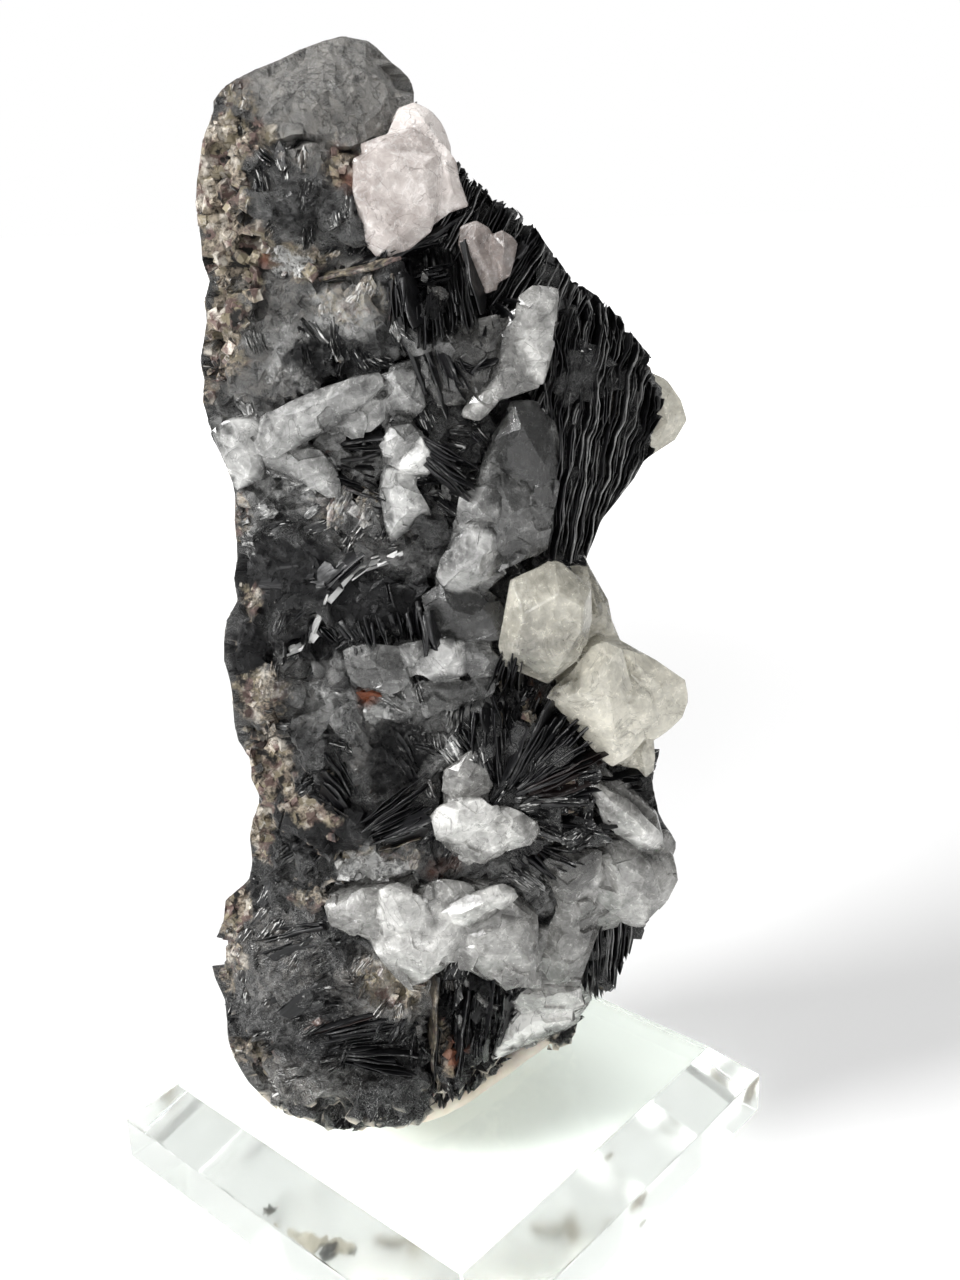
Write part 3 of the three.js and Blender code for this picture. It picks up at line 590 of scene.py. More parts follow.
def putty_finish():
    """Matte cream putty, pressed by hand."""
    finish = Finish("putty_finish")
    colour = finish.mix(finish.span(finish.grain(3 * MM, 3), 0.3, 0.7), PUTTY_DARK, PUTTY_LIGHT)
    finish.set(Base_Color=colour, Roughness=0.6)
    finish.constant(Subsurface_Weight=0.15, Subsurface_Scale=1.5 * MM)
    finish.set(Normal=finish.bump(finish.grain(0.8 * MM, 4), 0.12 * MM, 0.6))
    return finish.material


def floor_finish():
    """Pale and plain; it glows a little more away from the middle, so that it fades into the backdrop."""
    finish = Finish("floor_finish")
    finish.set(Base_Color=FLOOR_GREY, Roughness=0.9, Emission_Color=WHITE)
    away = finish.node("ShaderNodeVectorMath", {"operation": "LENGTH"})
    finish.put(away.inputs[0], finish.where)
    glow = finish.span(away.outputs["Value"], *FADE_REACH, *FADE_GLOW, ease="SMOOTHSTEP")
    finish.put(finish.shader.inputs["Emission Strength"], glow)
    return finish.material


# ---------------------------------------------------------------- stage
# Each lamp: name, place, width of its disk, power
LAMPS = (
    ("key_light", (-0.60, -0.20, 0.60), 0.26, 6.6),
    ("top_light", (0.10, -0.05, 0.85), 0.40, 1.5),
    ("front_light", (-0.25, -0.80, 0.45), 0.25, 2.6),
)
LAMP_TARGET = Vector((0, 0, 0.07))
BACKDROP_SEEN, BACKDROP_LIGHT = 1.0, 0.36


def make_floor():
    deselect()
    bpy.ops.mesh.primitive_plane_add(size=12, location=(0, 0, -0.06 * MM))
    floor = bpy.context.object
    floor.name = "floor"
    bpy.ops.object.transform_apply(location=True, rotation=False, scale=False)
    floor.data.materials.append(floor_finish())


def make_lamps():
    for name, place, size, power in LAMPS:
        data = bpy.data.lights.new(name, "AREA")
        data.shape = "DISK"
        data.size = size
        data.energy = power
        lamp = bpy.data.objects.new(name, data)
        lamp.location = place
        lamp.rotation_euler = (LAMP_TARGET - Vector(place)).to_track_quat("-Z", "Y").to_euler()
        bpy.context.scene.collection.objects.link(lamp)


def make_backdrop():
    """White where the camera sees it, straight or through the clear base; dimmer as a light."""
    world = bpy.data.worlds.new("studio")
    bpy.context.scene.world = world
    world.use_nodes = True
    tree = world.node_tree
    tree.nodes.clear()
    output = tree.nodes.new("ShaderNodeOutputWorld")
    seen = tree.nodes.new("ShaderNodeBackground")
    lit = tree.nodes.new("ShaderNodeBackground")
    for backdrop, strength in ((seen, BACKDROP_SEEN), (lit, BACKDROP_LIGHT)):
        backdrop.inputs["Strength"].default_value = strength
        backdrop.inputs["Color"].default_value = WHITE
    pick = tree.nodes.new("ShaderNodeMixShader")
    path = tree.nodes.new("ShaderNodeLightPath")
    bright = tree.nodes.new("ShaderNodeMath")
    bright.operation = "MAXIMUM"
    tree.links.new(path.outputs["Is Camera Ray"], bright.inputs[0])
    tree.links.new(path.outputs["Is Transmission Ray"], bright.inputs[1])
    tree.links.new(bright.outputs[0], pick.inputs[0])
    tree.links.new(lit.outputs[0], pick.inputs[1])
    tree.links.new(seen.outputs[0], pick.inputs[2])
    tree.links.new(pick.outputs[0], output.inputs["Surface"])


def set_up_render():
    scene = bpy.context.scene
    scene.view_settings.view_transform = "Standard"
    scene.cycles.max_bounces = 20
    scene.cycles.glossy_bounces = 14
    scene.cycles.transmission_bounces = 18
    scene.cycles.diffuse_bounces = 4


# ---------------------------------------------------------------- colour patches on the stone
# For each kind, its patches: middle and half sizes in pixels of the frame, turn in degrees, strength
PATCHES = {
    "earth": (
        (350, 90, 70, 50, 0, 0.22), (240, 95, 26, 22, 0, 0.45), (235, 132, 46, 20, 0, 0.8),
        (222, 190, 30, 62, 0, 0.85), (238, 255, 36, 45, 0, 0.75), (225, 320, 26, 40, 0, 0.7),
        (300, 262, 34, 20, 0, 0.6), (352, 300, 40, 34, 0, 0.42), (345, 165, 26, 28, 0, 0.6),
        (232, 365, 30, 16, 0, 0.5), (212, 385, 14, 30, 0, 0.5), (338, 505, 34, 22, 0, 0.4),
        (238, 520, 14, 30, 0, 0.5), (248, 600, 14, 20, 0, 0.5), (262, 700, 30, 34, 0, 0.55),
        (268, 765, 26, 40, 0, 0.7), (302, 806, 44, 12, -32, 0.75), (262, 830, 14, 36, 0, 0.75),
        (385, 860, 50, 20, 0, 0.45), (320, 905, 40, 14, -20, 0.5), (235, 905, 16, 30, 0, 0.7),
        (392, 985, 42, 28, 0, 0.55), (445, 1040, 7, 34, 8, 0.6), (230, 960, 16, 40, 0, 0.5),
        (250, 1055, 30, 18, 0, 0.45),
    ),
    "milk": (
        (232, 130, 30, 12, 0, 0.3), (294, 262, 28, 14, 0, 0.6), (350, 300, 36, 26, 0, 0.25),
        (335, 145, 24, 8, 20, 0.35), (300, 385, 60, 16, -20, 0.35), (285, 465, 66, 34, 0, 0.4),
        (240, 455, 22, 30, 0, 0.5), (300, 500, 60, 14, 0, 0.35), (350, 512, 16, 14, 0, 0.5),
        (360, 560, 40, 8, 10, 0.3), (245, 545, 14, 16, 0, 0.4), (275, 690, 20, 14, 0, 0.35),
        (262, 826, 7, 12, 0, 0.5), (320, 690, 22, 16, -30, 0.4), (400, 690, 26, 20, 0, 0.4),
        (372, 722, 12, 12, 0, 0.7), (420, 720, 30, 40, 0, 0.3), (380, 870, 46, 22, -10, 0.6),
        (324, 1022, 16, 9, -20, 0.45), (310, 1085, 60, 14, 0, 0.3), (550, 690, 14, 8, 0, 0.3),
    ),
    "rust": (
        (262, 258, 6, 8, 0, 0.9), (352, 182, 16, 14, 0, 0.55), (371, 698, 9, 12, 0, 1.0),
        (440, 868, 16, 10, 0, 0.4), (334, 1026, 16, 8, -20, 0.35), (450, 1050, 6, 14, 8, 0.8),
        (537, 692, 6, 5, 0, 0.7), (560, 776, 28, 7, 12, 0.05),
    ),
    # Painted silver glints
    "silver": (
        (283, 195, 9, 6, 20, 0.4), (330, 538, 12, 6, 0, 0.35),
    ),
    "fleck": (
        (330, 90, 110, 75, 0, 0.9), (300, 210, 60, 60, 0, 0.3), (270, 330, 70, 90, 0, 0.5),
        (352, 300, 40, 40, 0, 1.0), (370, 535, 50, 30, 0, 0.3), (290, 700, 70, 60, 0, 0.35),
        (400, 750, 60, 60, 0, 0.4), (270, 960, 60, 60, 0, 0.4), (392, 985, 60, 36, 0, 1.0),
        (300, 1080, 70, 26, 0, 0.6),
    ),
    # Pits and crevices: sunk into the mass and darkened with painted shade
    "pit_shade": (
        (296, 144, 22, 5, 0, 1.0), (340, 150, 20, 3, 0, 0.8), (222, 180, 7, 9, 0, 1.0),
        (235, 192, 6, 8, 0, 1.0), (243, 213, 9, 7, 0, 0.9), (250, 240, 8, 10, 0, 1.0),
        (213, 262, 5, 9, 0, 0.9), (240, 283, 12, 7, 0, 1.0), (216, 346, 6, 14, 0, 0.9),
        (258, 300, 6, 12, 0, 0.7), (440, 498, 12, 20, 0, 1.0), (512, 682, 24, 12, 0, 1.0),
        (330, 405, 3, 12, 0, 0.6), (350, 452, 9, 26, 0, 0.6), (262, 745, 8, 12, 0, 0.8),
        (255, 790, 5, 10, 0, 0.8), (250, 868, 8, 7, 0, 0.8), (352, 965, 8, 34, 14, 0.5),
        (430, 1035, 22, 26, 0, 0.5), (460, 300, 26, 30, 0, 0.6), (560, 920, 12, 10, 0, 0.6),
        (532, 930, 10, 8, 0, 0.8),
    ),
    # Grey haze, partly the stone's own grey and partly painted sheen
    "haze_and_sheen": (
        (300, 452, 98, 56, -12, 0.9), (250, 508, 24, 30, 0, 0.8), (352, 500, 44, 34, 0, 0.7),
        (425, 705, 86, 26, 0, 0.8), (430, 742, 40, 40, 0, 0.7), (480, 866, 66, 20, 0, 0.6),
        (560, 885, 50, 46, 0, 0.7), (330, 700, 44, 30, 0, 0.5), (350, 308, 44, 40, 0, 0.7),
        (435, 352, 44, 40, 0, 0.7), (380, 862, 64, 26, 0, 0.7), (395, 560, 60, 14, 0, 0.6),
        (360, 660, 60, 26, 0, 0.6), (290, 345, 60, 30, 0, 0.5), (395, 985, 50, 30, 0, 0.5),
        (280, 1010, 50, 40, 0, 0.35), (290, 600, 50, 20, 0, 0.3), (560, 960, 40, 50, 0, 0.6),
        (300, 215, 50, 40, 0, 0.4),
    ),
    "black": (
        (285, 575, 66, 36, 0, 1.0), (385, 605, 62, 26, 0, 0.9), (248, 655, 24, 44, 0, 0.8),
        (440, 292, 54, 44, 0, 0.9), (320, 640, 56, 20, 0, 0.6), (400, 755, 40, 50, -20, 0.6),
        (325, 825, 56, 34, 0, 0.7), (285, 735, 44, 22, 0, 0.5), (355, 1055, 80, 40, 0, 0.5),
        (470, 1020, 36, 60, 0, 0.9), (320, 360, 40, 24, 0, 0.6), (330, 1000, 40, 26, 0, 0.5),
        (305, 205, 44, 34, 0, 0.5), (430, 640, 50, 10, 0, 0.6),
    ),
}
# Where the stone is smooth instead of chipped
SMOOTH = (
    (330, 90, 112, 70), (285, 575, 64, 40), (300, 205, 56, 54), (380, 600, 56, 24), (245, 655, 20, 34),
    (350, 1055, 70, 50), (285, 960, 60, 60), (410, 770, 40, 50), (300, 345, 60, 40),
)
# How far, in pixels, noise bends the patches, and how much it frays their edges
PATCH_WARP, PATCH_RAGGED = 9, 0.28
# Up to this height putty sticks to the underside of the stone
SMEAR_TOP = 24 * MM


def smoothness(points):
    """How smooth the stone is at each point: 1 within the smooth patches, 0 away from them."""
    u, v = pixels_of(points).T
    smooth = np.zeros(len(points))
    for middle_u, middle_v, half_u, half_v in SMOOTH:
        far = np.sqrt(((u - middle_u) / half_u) ** 2 + ((v - middle_v) / half_v) ** 2)
        smooth = np.maximum(smooth, np.clip((1.15 - far) / 0.3, 0, 1))
    return smooth


def paint_weights(points, normals):
    """How much of each colour a point on the stone has."""
    points = np.asarray(points, float)
    place = pixels_of(points)
    place = place + bend(points, 2.4 * MM, 5, 6) * PATCH_WARP
    grain = value_noise(points, 0.9 * MM, 7)
    facing = facing_of(points, normals)
    front = np.clip((facing + 0.35) / 0.3, 0, 1)
    weights = {kind: np.zeros(len(points)) for kind in PATCHES}
    for kind, patches in PATCHES.items():
        for middle_u, middle_v, half_u, half_v, turn, strength in patches:
            angle = math.radians(turn)
            away = place - np.array((middle_u, middle_v))
            across = (away[:, 0] * math.cos(angle) - away[:, 1] * math.sin(angle)) / half_u
            up = (away[:, 0] * math.sin(angle) + away[:, 1] * math.cos(angle)) / half_v
            far = np.sqrt(across ** 2 + up ** 2) + grain * PATCH_RAGGED
            weight = np.clip((1.2 - far) / 0.5, 0, 1) * strength * front
            weights[kind] = np.maximum(weights[kind], weight)
    rear = 1 - front
    broad = value_noise(points, 16 * MM, 21)
    small = value_noise(points, 3 * MM, 22)
    weights["earth"] += rear * np.clip(broad * 1.6 + small * 0.7 + 0.15, 0, 0.85)
    film = value_noise(points, 12 * MM, 23)
    weights["milk"] += rear * np.clip(film * 1.6 + small * 0.5 - 0.5, 0, 0.7)
    weights["fleck"] += rear * 0.6
    under = np.clip((-normals[:, 2] - 0.1) / 0.25, 0, 1)
    under = under * np.clip((SMEAR_TOP - points[:, 2]) / (2 * MM), 0, 1)
    weights["smear"] = under * np.clip((0.2 - facing) / 0.15, 0, 1)
    return weights


def write_value(piece, name, values):
    layer = piece.data.attributes.new(name, "FLOAT", "POINT")
    layer.data.foreach_set("value", np.asarray(values, np.float32))


def write_weights(piece, weights, lay):
    for kind, values in weights.items():
        write_value(piece, kind, values)
    layer = piece.data.attributes.new("lay", "FLOAT_VECTOR", "POINT")
    layer.data.foreach_set("vector", np.asarray(lay, np.float32).ravel())


# ---------------------------------------------------------------- how the blades lie
# Each guide: its pixel, direction in degrees, crystal size in millimetres, lean (0 on edge, 90 flat)
GUIDES = (
    (300, 80, 60, 1.5, 55), (365, 75, 50, 1.5, 60), (262, 92, 82, 2.0, 25), (235, 132, 20, 1.2, 50),
    (285, 172, 100, 2.6, 70), (300, 222, 75, 2.6, 60), (342, 200, 80, 1.8, 50), (340, 240, 60, 2.0, 45),
    (220, 200, 45, 1.2, 50), (225, 300, 30, 1.2, 50), (250, 250, 60, 1.4, 50), (300, 345, 95, 3.2, 15),
    (330, 372, 85, 3.2, 15), (352, 320, 60, 2.6, 30), (400, 280, 12, 3.4, 25), (440, 262, 25, 3.2, 25),
    (430, 305, 80, 2.6, 18), (472, 300, 60, 2.6, 20), (400, 350, -50, 3.0, 20), (422, 392, -55, 3.0, 25),
    (350, 440, 20, 2.2, 40), (300, 500, 15, 2.0, 50), (270, 545, 10, 3.6, 78), (305, 565, 20, 3.4, 72),
    (352, 522, 70, 2.6, 30), (402, 532, 60, 2.2, 40), (430, 450, -20, 3.0, 20), (462, 462, -35, 3.0, 20),
    (380, 582, 10, 3.8, 65), (340, 602, 20, 3.6, 60), (400, 622, 100, 2.4, 15), (300, 642, 50, 3.2, 40),
    (250, 642, 70, 2.0, 45), (300, 700, -30, 2.4, 45), (345, 705, -20, 2.2, 45), (400, 742, -50, 2.6, 40),
    (442, 745, -60, 2.4, 40), (350, 802, 40, 2.6, 30), (300, 852, 30, 2.2, 45), (400, 842, 60, 2.4, 40),
    (470, 722, 100, 3.4, 15), (522, 742, 75, 3.8, 15), (562, 732, 55, 3.8, 15), (582, 782, 20, 3.8, 30),
    (572, 832, -8, 4.0, 20), (542, 862, -25, 3.0, 35), (300, 932, 40, 2.6, 50), (262, 982, 60, 2.6, 50),
    (332, 1002, 30, 2.2, 45), (382, 992, 60, 2.0, 45), (300, 1062, 20, 3.0, 40), (382, 1072, 50, 3.0, 30),
    (432, 1052, 75, 3.6, 15), (472, 1032, 80, 4.4, 12), (622, 942, 75, 3.6, 15), (600, 420, 70, 3.6, 10),
    (520, 250, -60, 3.0, 15), (270, 1100, 10, 2.6, 50), (640, 800, 20, 2.6, 25),
)
# How far, in pixels, noise bends the regions of the guides
GUIDE_WARP = 14


def nearest_guides(points):
    """The number of the guide that is nearest to each point in the frame."""
    place = pixels_of(points) + bend(points, 5 * MM, 8, 9) * GUIDE_WARP
    middles = np.array([guide[:2] for guide in GUIDES], float)
    return np.argmin(((place[:, None, :] - middles[None, :, :]) ** 2).sum(axis=2), axis=1)


def lay_of(points, normals):
    """The direction in which the blades run at each point."""
    turn = np.array(EYE_TURN.to_3x3())
    angles = np.radians([guide[2] for guide in GUIDES])[nearest_guides(points)]
    angles = angles + value_noise(points, 4 * MM, 10) * 0.5
    front = np.cos(angles)[:, None] * turn[:, 0] + np.sin(angles)[:, None] * turn[:, 1]
    swirl = value_noise(points, 14 * MM, 41) * 3.2
    rear = np.stack([np.cos(swirl), np.zeros(len(points)), np.sin(swirl)], axis=1)
    facing = facing_of(points, normals)
    lay = np.where(facing[:, None] > 0, front, rear)
    return unit(lay - normals * np.einsum("ij,ij->i", lay, normals)[:, None])


# ---------------------------------------------------------------- the dark mass
MASS_VOXEL = 0.42 * MM
MASS_TRIANGLES = 130000


def make_mass(material):
    piece = copy_of("specularite", "specularite_mass")
    apply_modifier(piece, "REMESH", mode="VOXEL", voxel_size=MASS_VOXEL, adaptivity=0.0)
    rough = 1 - smoothness(points_of(piece))
    chipped = 0.3 + 0.7 * rough
    relax(piece, 0.6 * (1 - rough), rounds=30)
    chip(piece, 6.5 * MM, tilt=0.45, limit=1.0 * MM, seed=1, rise=0.2 * MM, where=chipped)
    chip(piece, 2.6 * MM, tilt=0.5, limit=0.5 * MM, seed=2, rise=0.15 * MM, where=chipped)
    chip(piece, 1.3 * MM, tilt=0.4, limit=0.2 * MM, seed=4, rise=0.07 * MM)
    points = points_of(piece)
    normals = normals_of(piece)
    weights = paint_weights(points, normals)
    crumble = value_noise(points, 1.3 * MM, 3) * (0.06 + 0.5 * weights["earth"]) * chipped
    # Pits are sunk in as well as painted with shade
    points = points + normals * ((crumble - 1.6 * weights["pit_shade"]) * MM)[:, None]
    set_points(piece, trim(fill_out(points, normals), 0))
    crisp(piece, MASS_TRIANGLES)
    points = points_of(piece)
    normals = normals_of(piece)
    write_weights(piece, paint_weights(points, normals), lay_of(points, normals))
    shade(piece, degrees=22)
    finish_piece(piece, material, "specularite", "specularite")
    return piece


# ---------------------------------------------------------------- blades and flakes
def template_of(piece):
    points = points_of(piece)
    faces = [tuple(face.vertices) for face in piece.data.polygons]
    bpy.data.objects.remove(piece)
    return points, faces


SHEET_ROWS = (0, 0.06, 0.32, 0.66, 1)


def sheet_template(steps_along):
    """A thin sheet, modelled once: 0 to 1 along, 0 to 1 deep, 1 thick about the middle."""
    deselect()
    bpy.ops.mesh.primitive_grid_add(x_subdivisions=steps_along, y_subdivisions=len(SHEET_ROWS) - 1, size=1,
                                    location=(0.5, 0.5, 0))
    piece = bpy.context.object
    bpy.ops.object.transform_apply(location=True, rotation=True, scale=True)
    apply_modifier(piece, "SOLIDIFY", thickness=1.0, offset=0.0)
    points, faces = template_of(piece)
    points[:, 1] = np.interp(points[:, 1], np.linspace(0, 1, len(SHEET_ROWS)), SHEET_ROWS)
    return points, faces


def flake_template():
    """A small flat crystal plate with seven corners."""
    deselect()
    bpy.ops.mesh.primitive_circle_add(vertices=7, radius=0.5, fill_type="NGON")
    piece = bpy.context.object
    apply_modifier(piece, "SOLIDIFY", thickness=0.1, offset=0.0)
    return template_of(piece)


def chip_template():
    """A small angular crumb of stone."""
    deselect()
    bpy.ops.mesh.primitive_cube_add(size=0.8)
    piece = bpy.context.object
    apply_modifier(piece, "TRIANGULATE")
    return template_of(piece)


class Heap:
    """Many copies of templates gathered in one mesh, each with the direction in which it lies."""

    def __init__(self):
        self.points = []
        self.faces = []
        self.centres = []
        self.lays = []
        self.rims = []
        self.silvers = []
        self.count = 0

    def add(self, points, faces, lay, centre=None, rim=0.25, silver=0.0):
        middle = points.mean(axis=0) if centre is None else centre
        self.points.append(points)
        self.centres.append(np.repeat([middle], len(points), axis=0))
        self.lays.append(np.repeat([lay], len(points), axis=0))
        self.rims.append(np.broadcast_to(rim, len(points)))
        self.silvers.append(np.broadcast_to(silver, len(points)))
        self.faces.extend([tuple(i + self.count for i in face) for face in faces])
        self.count += len(points)

    def make(self, name, material, degrees):
        data = bpy.data.meshes.new(name)
        points = lift_over(trim(np.concatenate(self.points)))
        data.from_pydata(points.tolist(), [], self.faces)
        piece = bpy.data.objects.new(name, data)
        bpy.context.scene.collection.objects.link(piece)
        activate(piece)
        bpy.ops.object.mode_set(mode="EDIT")
        bpy.ops.mesh.select_all(action="SELECT")
        bpy.ops.mesh.normals_make_consistent(inside=False)
        bpy.ops.object.mode_set(mode="OBJECT")
        centres = np.concatenate(self.centres)
        sight = unit(np.array(EYE) - centres)
        outward = np.where(centres[:, 1:2] < 4 * MM, sight, -sight)
        weights = paint_weights(centres, outward)
        # Each copy takes a third of the painted silver glint around it, or its own where that is more
        weights["silver"] = np.maximum(weights["silver"] * 0.3, np.concatenate(self.silvers))
        write_weights(piece, weights, np.concatenate(self.lays))
        write_value(piece, "rim", np.concatenate(self.rims))
        shade(piece, degrees)
        finish_piece(piece, material, "specularite")


def line_at(line, share):
    """The point at a share of the way along a line of points."""
    place = min(share, 0.9999) * (len(line) - 1)
    index = int(place)
    a, b = np.array(line[index], float), np.array(line[index + 1], float)
    return a + (b - a) * (place - index)


def broken_line(rng, where, length, step):
    """A jagged line along a blade's edge: values from -1 to 1 with a corner about each step."""
    knots = max(3, int(length / step))
    return np.interp(where, np.linspace(0, 1, knots), rng.uniform(-1, 1, knots))


def add_plate(heap, template, rng, root, tip, inward, depth, thick, wave, jag, bulge=0.0, phase=None,
              shine=1.1, silver=0.0):
    """One wavy sheet from root to tip, its front edge towards the viewer, reaching inward.

    Its ripples go to the side by wave, its edges are ragged by jag and its front swells by bulge.
    """
    points, faces = template
    s, w, t = points[:, 0], points[:, 1], points[:, 2]
    along = tip - root
    length = np.linalg.norm(along)
    a = along / length
    inward = unit(inward - a * np.dot(inward, a))
    side = np.cross(a, inward)
    phase = rng.uniform(0, 6) if phase is None else phase
    tip_cut = broken_line(rng, w, 6, 1) * jag - 0.4 * jag
    edge_cut = (broken_line(rng, s, length, 2.2 * MM) + 1) * 0.5 * jag
    reach = length + tip_cut - 0.25 * length * w ** 2
    turns = length / (9 * MM) * 2 * math.pi
    ripple = wave * (np.sin(s * turns + phase) + 0.5 * np.sin(s * turns * 2.3 + phase * 1.7)
                     + 0.5 * broken_line(rng, s, length, 2 * MM))
    ripple = ripple * (0.35 + 0.65 * s) * (1 - 0.5 * w)
    front = bulge * np.sin(math.pi * np.clip(s, 0, 1)) - edge_cut * (1 - w)
    body = thick * (1 - 0.45 * s) * np.where(w < 0.01, 0.3, 1)
    place = (root + a * (s * reach)[:, None] + inward * (w * depth - front)[:, None]
             + side * (t * body + ripple)[:, None])
    # How much painted highlight the front edge and tip take, more or less at random by their shine
    rim = np.where(w < 0.01, 1.0, np.where(w < 0.1, 0.25, 0.0)) + np.where(s > 0.98, 0.4, 0)
    rim = rim * rng.uniform(0.0, shine)
    heap.add(place, faces, a, rim=rim, silver=silver)


class Ground:
    """The stone's surface, to set things on by the pixel where the camera sees them."""

    def __init__(self, pieces):
        points, faces = [], []
        for piece in pieces:
            start = len(points)
            points.extend([tuple(vertex.co) for vertex in piece.data.vertices])
            faces.extend([tuple(i + start for i in face.vertices) for face in piece.data.polygons])
        self.tree = BVHTree.FromPolygons(points, faces)

    def hit(self, u, v):
        place, normal, _, _ = self.tree.ray_cast(EYE, pixel_ray(u, v))
        if place is None:
            return None
        return np.array(place), np.array(normal)


SPRAY_DENSITY = 2.2
SPRAY_SHINE = 0.6
SPRAY_WAVE, SPRAY_JAG, SPRAY_BULGE = 0.14 * MM, 0.5 * MM, 0.3 * MM
# A tip that the stone shows further than this in front or behind its root stands free instead
FREE_STEP = 9 * MM


def spray(heap, template, ground, roots, tips, count, seed, lift=1.0, depth=3.0, thick=0.35, lean=0):
    """Blades side by side, from a line of roots to a line of tips, both in pixels of the frame."""
    rng = np.random.default_rng(seed)
    count = round(count * SPRAY_DENSITY)
    for number in range(count):
        share = min(1, max(0, (number + rng.uniform(-0.5, 0.5)) / max(1, count - 1)))
        root_px = line_at(roots, share) + rng.normal(size=2) * 1.8
        tip_px = line_at(tips, share) + rng.normal(size=2) * 3.5
        root_hit = ground.hit(*root_px)
        if root_hit is None:
            continue
        root, root_normal = root_hit
        tip_hit = ground.hit(*tip_px)
        ray = np.array(pixel_ray(*tip_px))
        if tip_hit is None or abs(tip_hit[0][1] - root[1]) > FREE_STEP:
            reach = (root[1] - EYE[1]) / ray[1]
            tip = np.array(EYE) + ray * reach
        else:
            tip = tip_hit[0]
        toward = -np.array(pixel_ray(*root_px))
        normal = unit(root_normal * 0.4 + toward)
        root = root + normal * rng.uniform(-0.3, 0.6) * lift * MM
        tip = tip - ray * rng.uniform(0.4, 1.3) * lift * MM
        start, stop = rng.uniform(0, 0.35), rng.uniform(0.65, 1.05)
        root, tip = root + (tip - root) * start, root + (tip - root) * stop
        along = unit(tip - root)
        inward = unit(-normal + along * np.dot(normal, along))
        side = np.cross(along, inward)
        angle = math.radians(lean + rng.normal() * 11)
        inward = inward * math.cos(angle) + side * math.sin(angle)
        add_plate(heap, template, rng, root, tip, inward, depth * MM * rng.uniform(0.7, 1.2),
                  thick * MM * rng.uniform(0.5, 1.6), SPRAY_WAVE, SPRAY_JAG, SPRAY_BULGE, shine=SPRAY_SHINE)


# Rosettes that stand clear of the mass: roots and tips in x and z, front and back in y, millimetres
STANDING = (
    # the big rosette at the right
    dict(count=72, front=(-16.4, -13.2), back=13, thick=0.3, wave=0.34, jag=1.6, bulge=1.8,
         roots=((14.5, 107), (16.6, 105), (19.5, 104.4), (22.2, 105.6), (24.5, 109.5), (25.6, 113.5)),
         tips=((17.4, 133.6), (20.4, 138), (24.0, 139.4), (27.2, 135.4), (30.6, 130), (31.4, 124.5),
               (29.8, 119))),
    # the black fan up the right shoulder
    dict(count=72, front=(-12.8, -10.6), back=11, thick=0.4, wave=0.2, jag=0.6, bulge=1.0,
         roots=((2.5, 148), (6.5, 142.5), (10, 136.5), (13, 130.5), (16, 124)),
         tips=((6.6, 155.0), (11.6, 151.0), (16.6, 147.0), (19.6, 142.6), (22, 139.4))),
    # ragged plates at the right edge
    dict(count=22, front=(-11, -9.2), back=8, thick=0.3, wave=0.3, jag=1.2, bulge=0.8,
         roots=((19.5, 71), (22, 67), (24, 61)),
         tips=((29.5, 72.6), (33, 69), (34.2, 64.8), (35.6, 58.5))),
    # the small fan low at the right
    dict(count=30, front=(-13.2, -11.6), back=5, thick=0.34, wave=0.12, jag=0.6, bulge=0.8,
         roots=((22.2, 47.3), (24.6, 49.6), (27.1, 49.4), (29.5, 46.8)),
         tips=((22.2, 33.8), (24.0, 33.0), (26.2, 35.4), (28.6, 42.0))),
)


def make_standing(material, template):
    heap = Heap()
    rng = np.random.default_rng(31)
    for fan in STANDING:
        for number in range(fan["count"]):
            share = number / (fan["count"] - 1)
            share = min(1, max(0, share + rng.uniform(-0.8, 0.8) / fan["count"]))
            low, high = fan["front"]
            front = high + (low - high) * rng.random() ** 1.6
            root_x, root_z = line_at(fan["roots"], share)
            tip_x, tip_z = line_at(fan["tips"], share) + rng.normal(size=2) * 0.35
            root = np.array([root_x, front, root_z]) * MM
            tip = np.array([tip_x, front + rng.uniform(-0.5, 1.5), tip_z]) * MM
            depth = (fan["back"] - front) * MM
            thick = fan["thick"] * rng.uniform(0.5, 1.5) * MM
            phase = share * 7 + rng.normal() * 0.7
            add_plate(heap, template, rng, root, tip, np.array([0, 1.0, 0]), depth, thick,
                      fan["wave"] * MM, fan["jag"] * MM, fan["bulge"] * MM, phase)
    heap.make("rosette_blades", material, degrees=40)


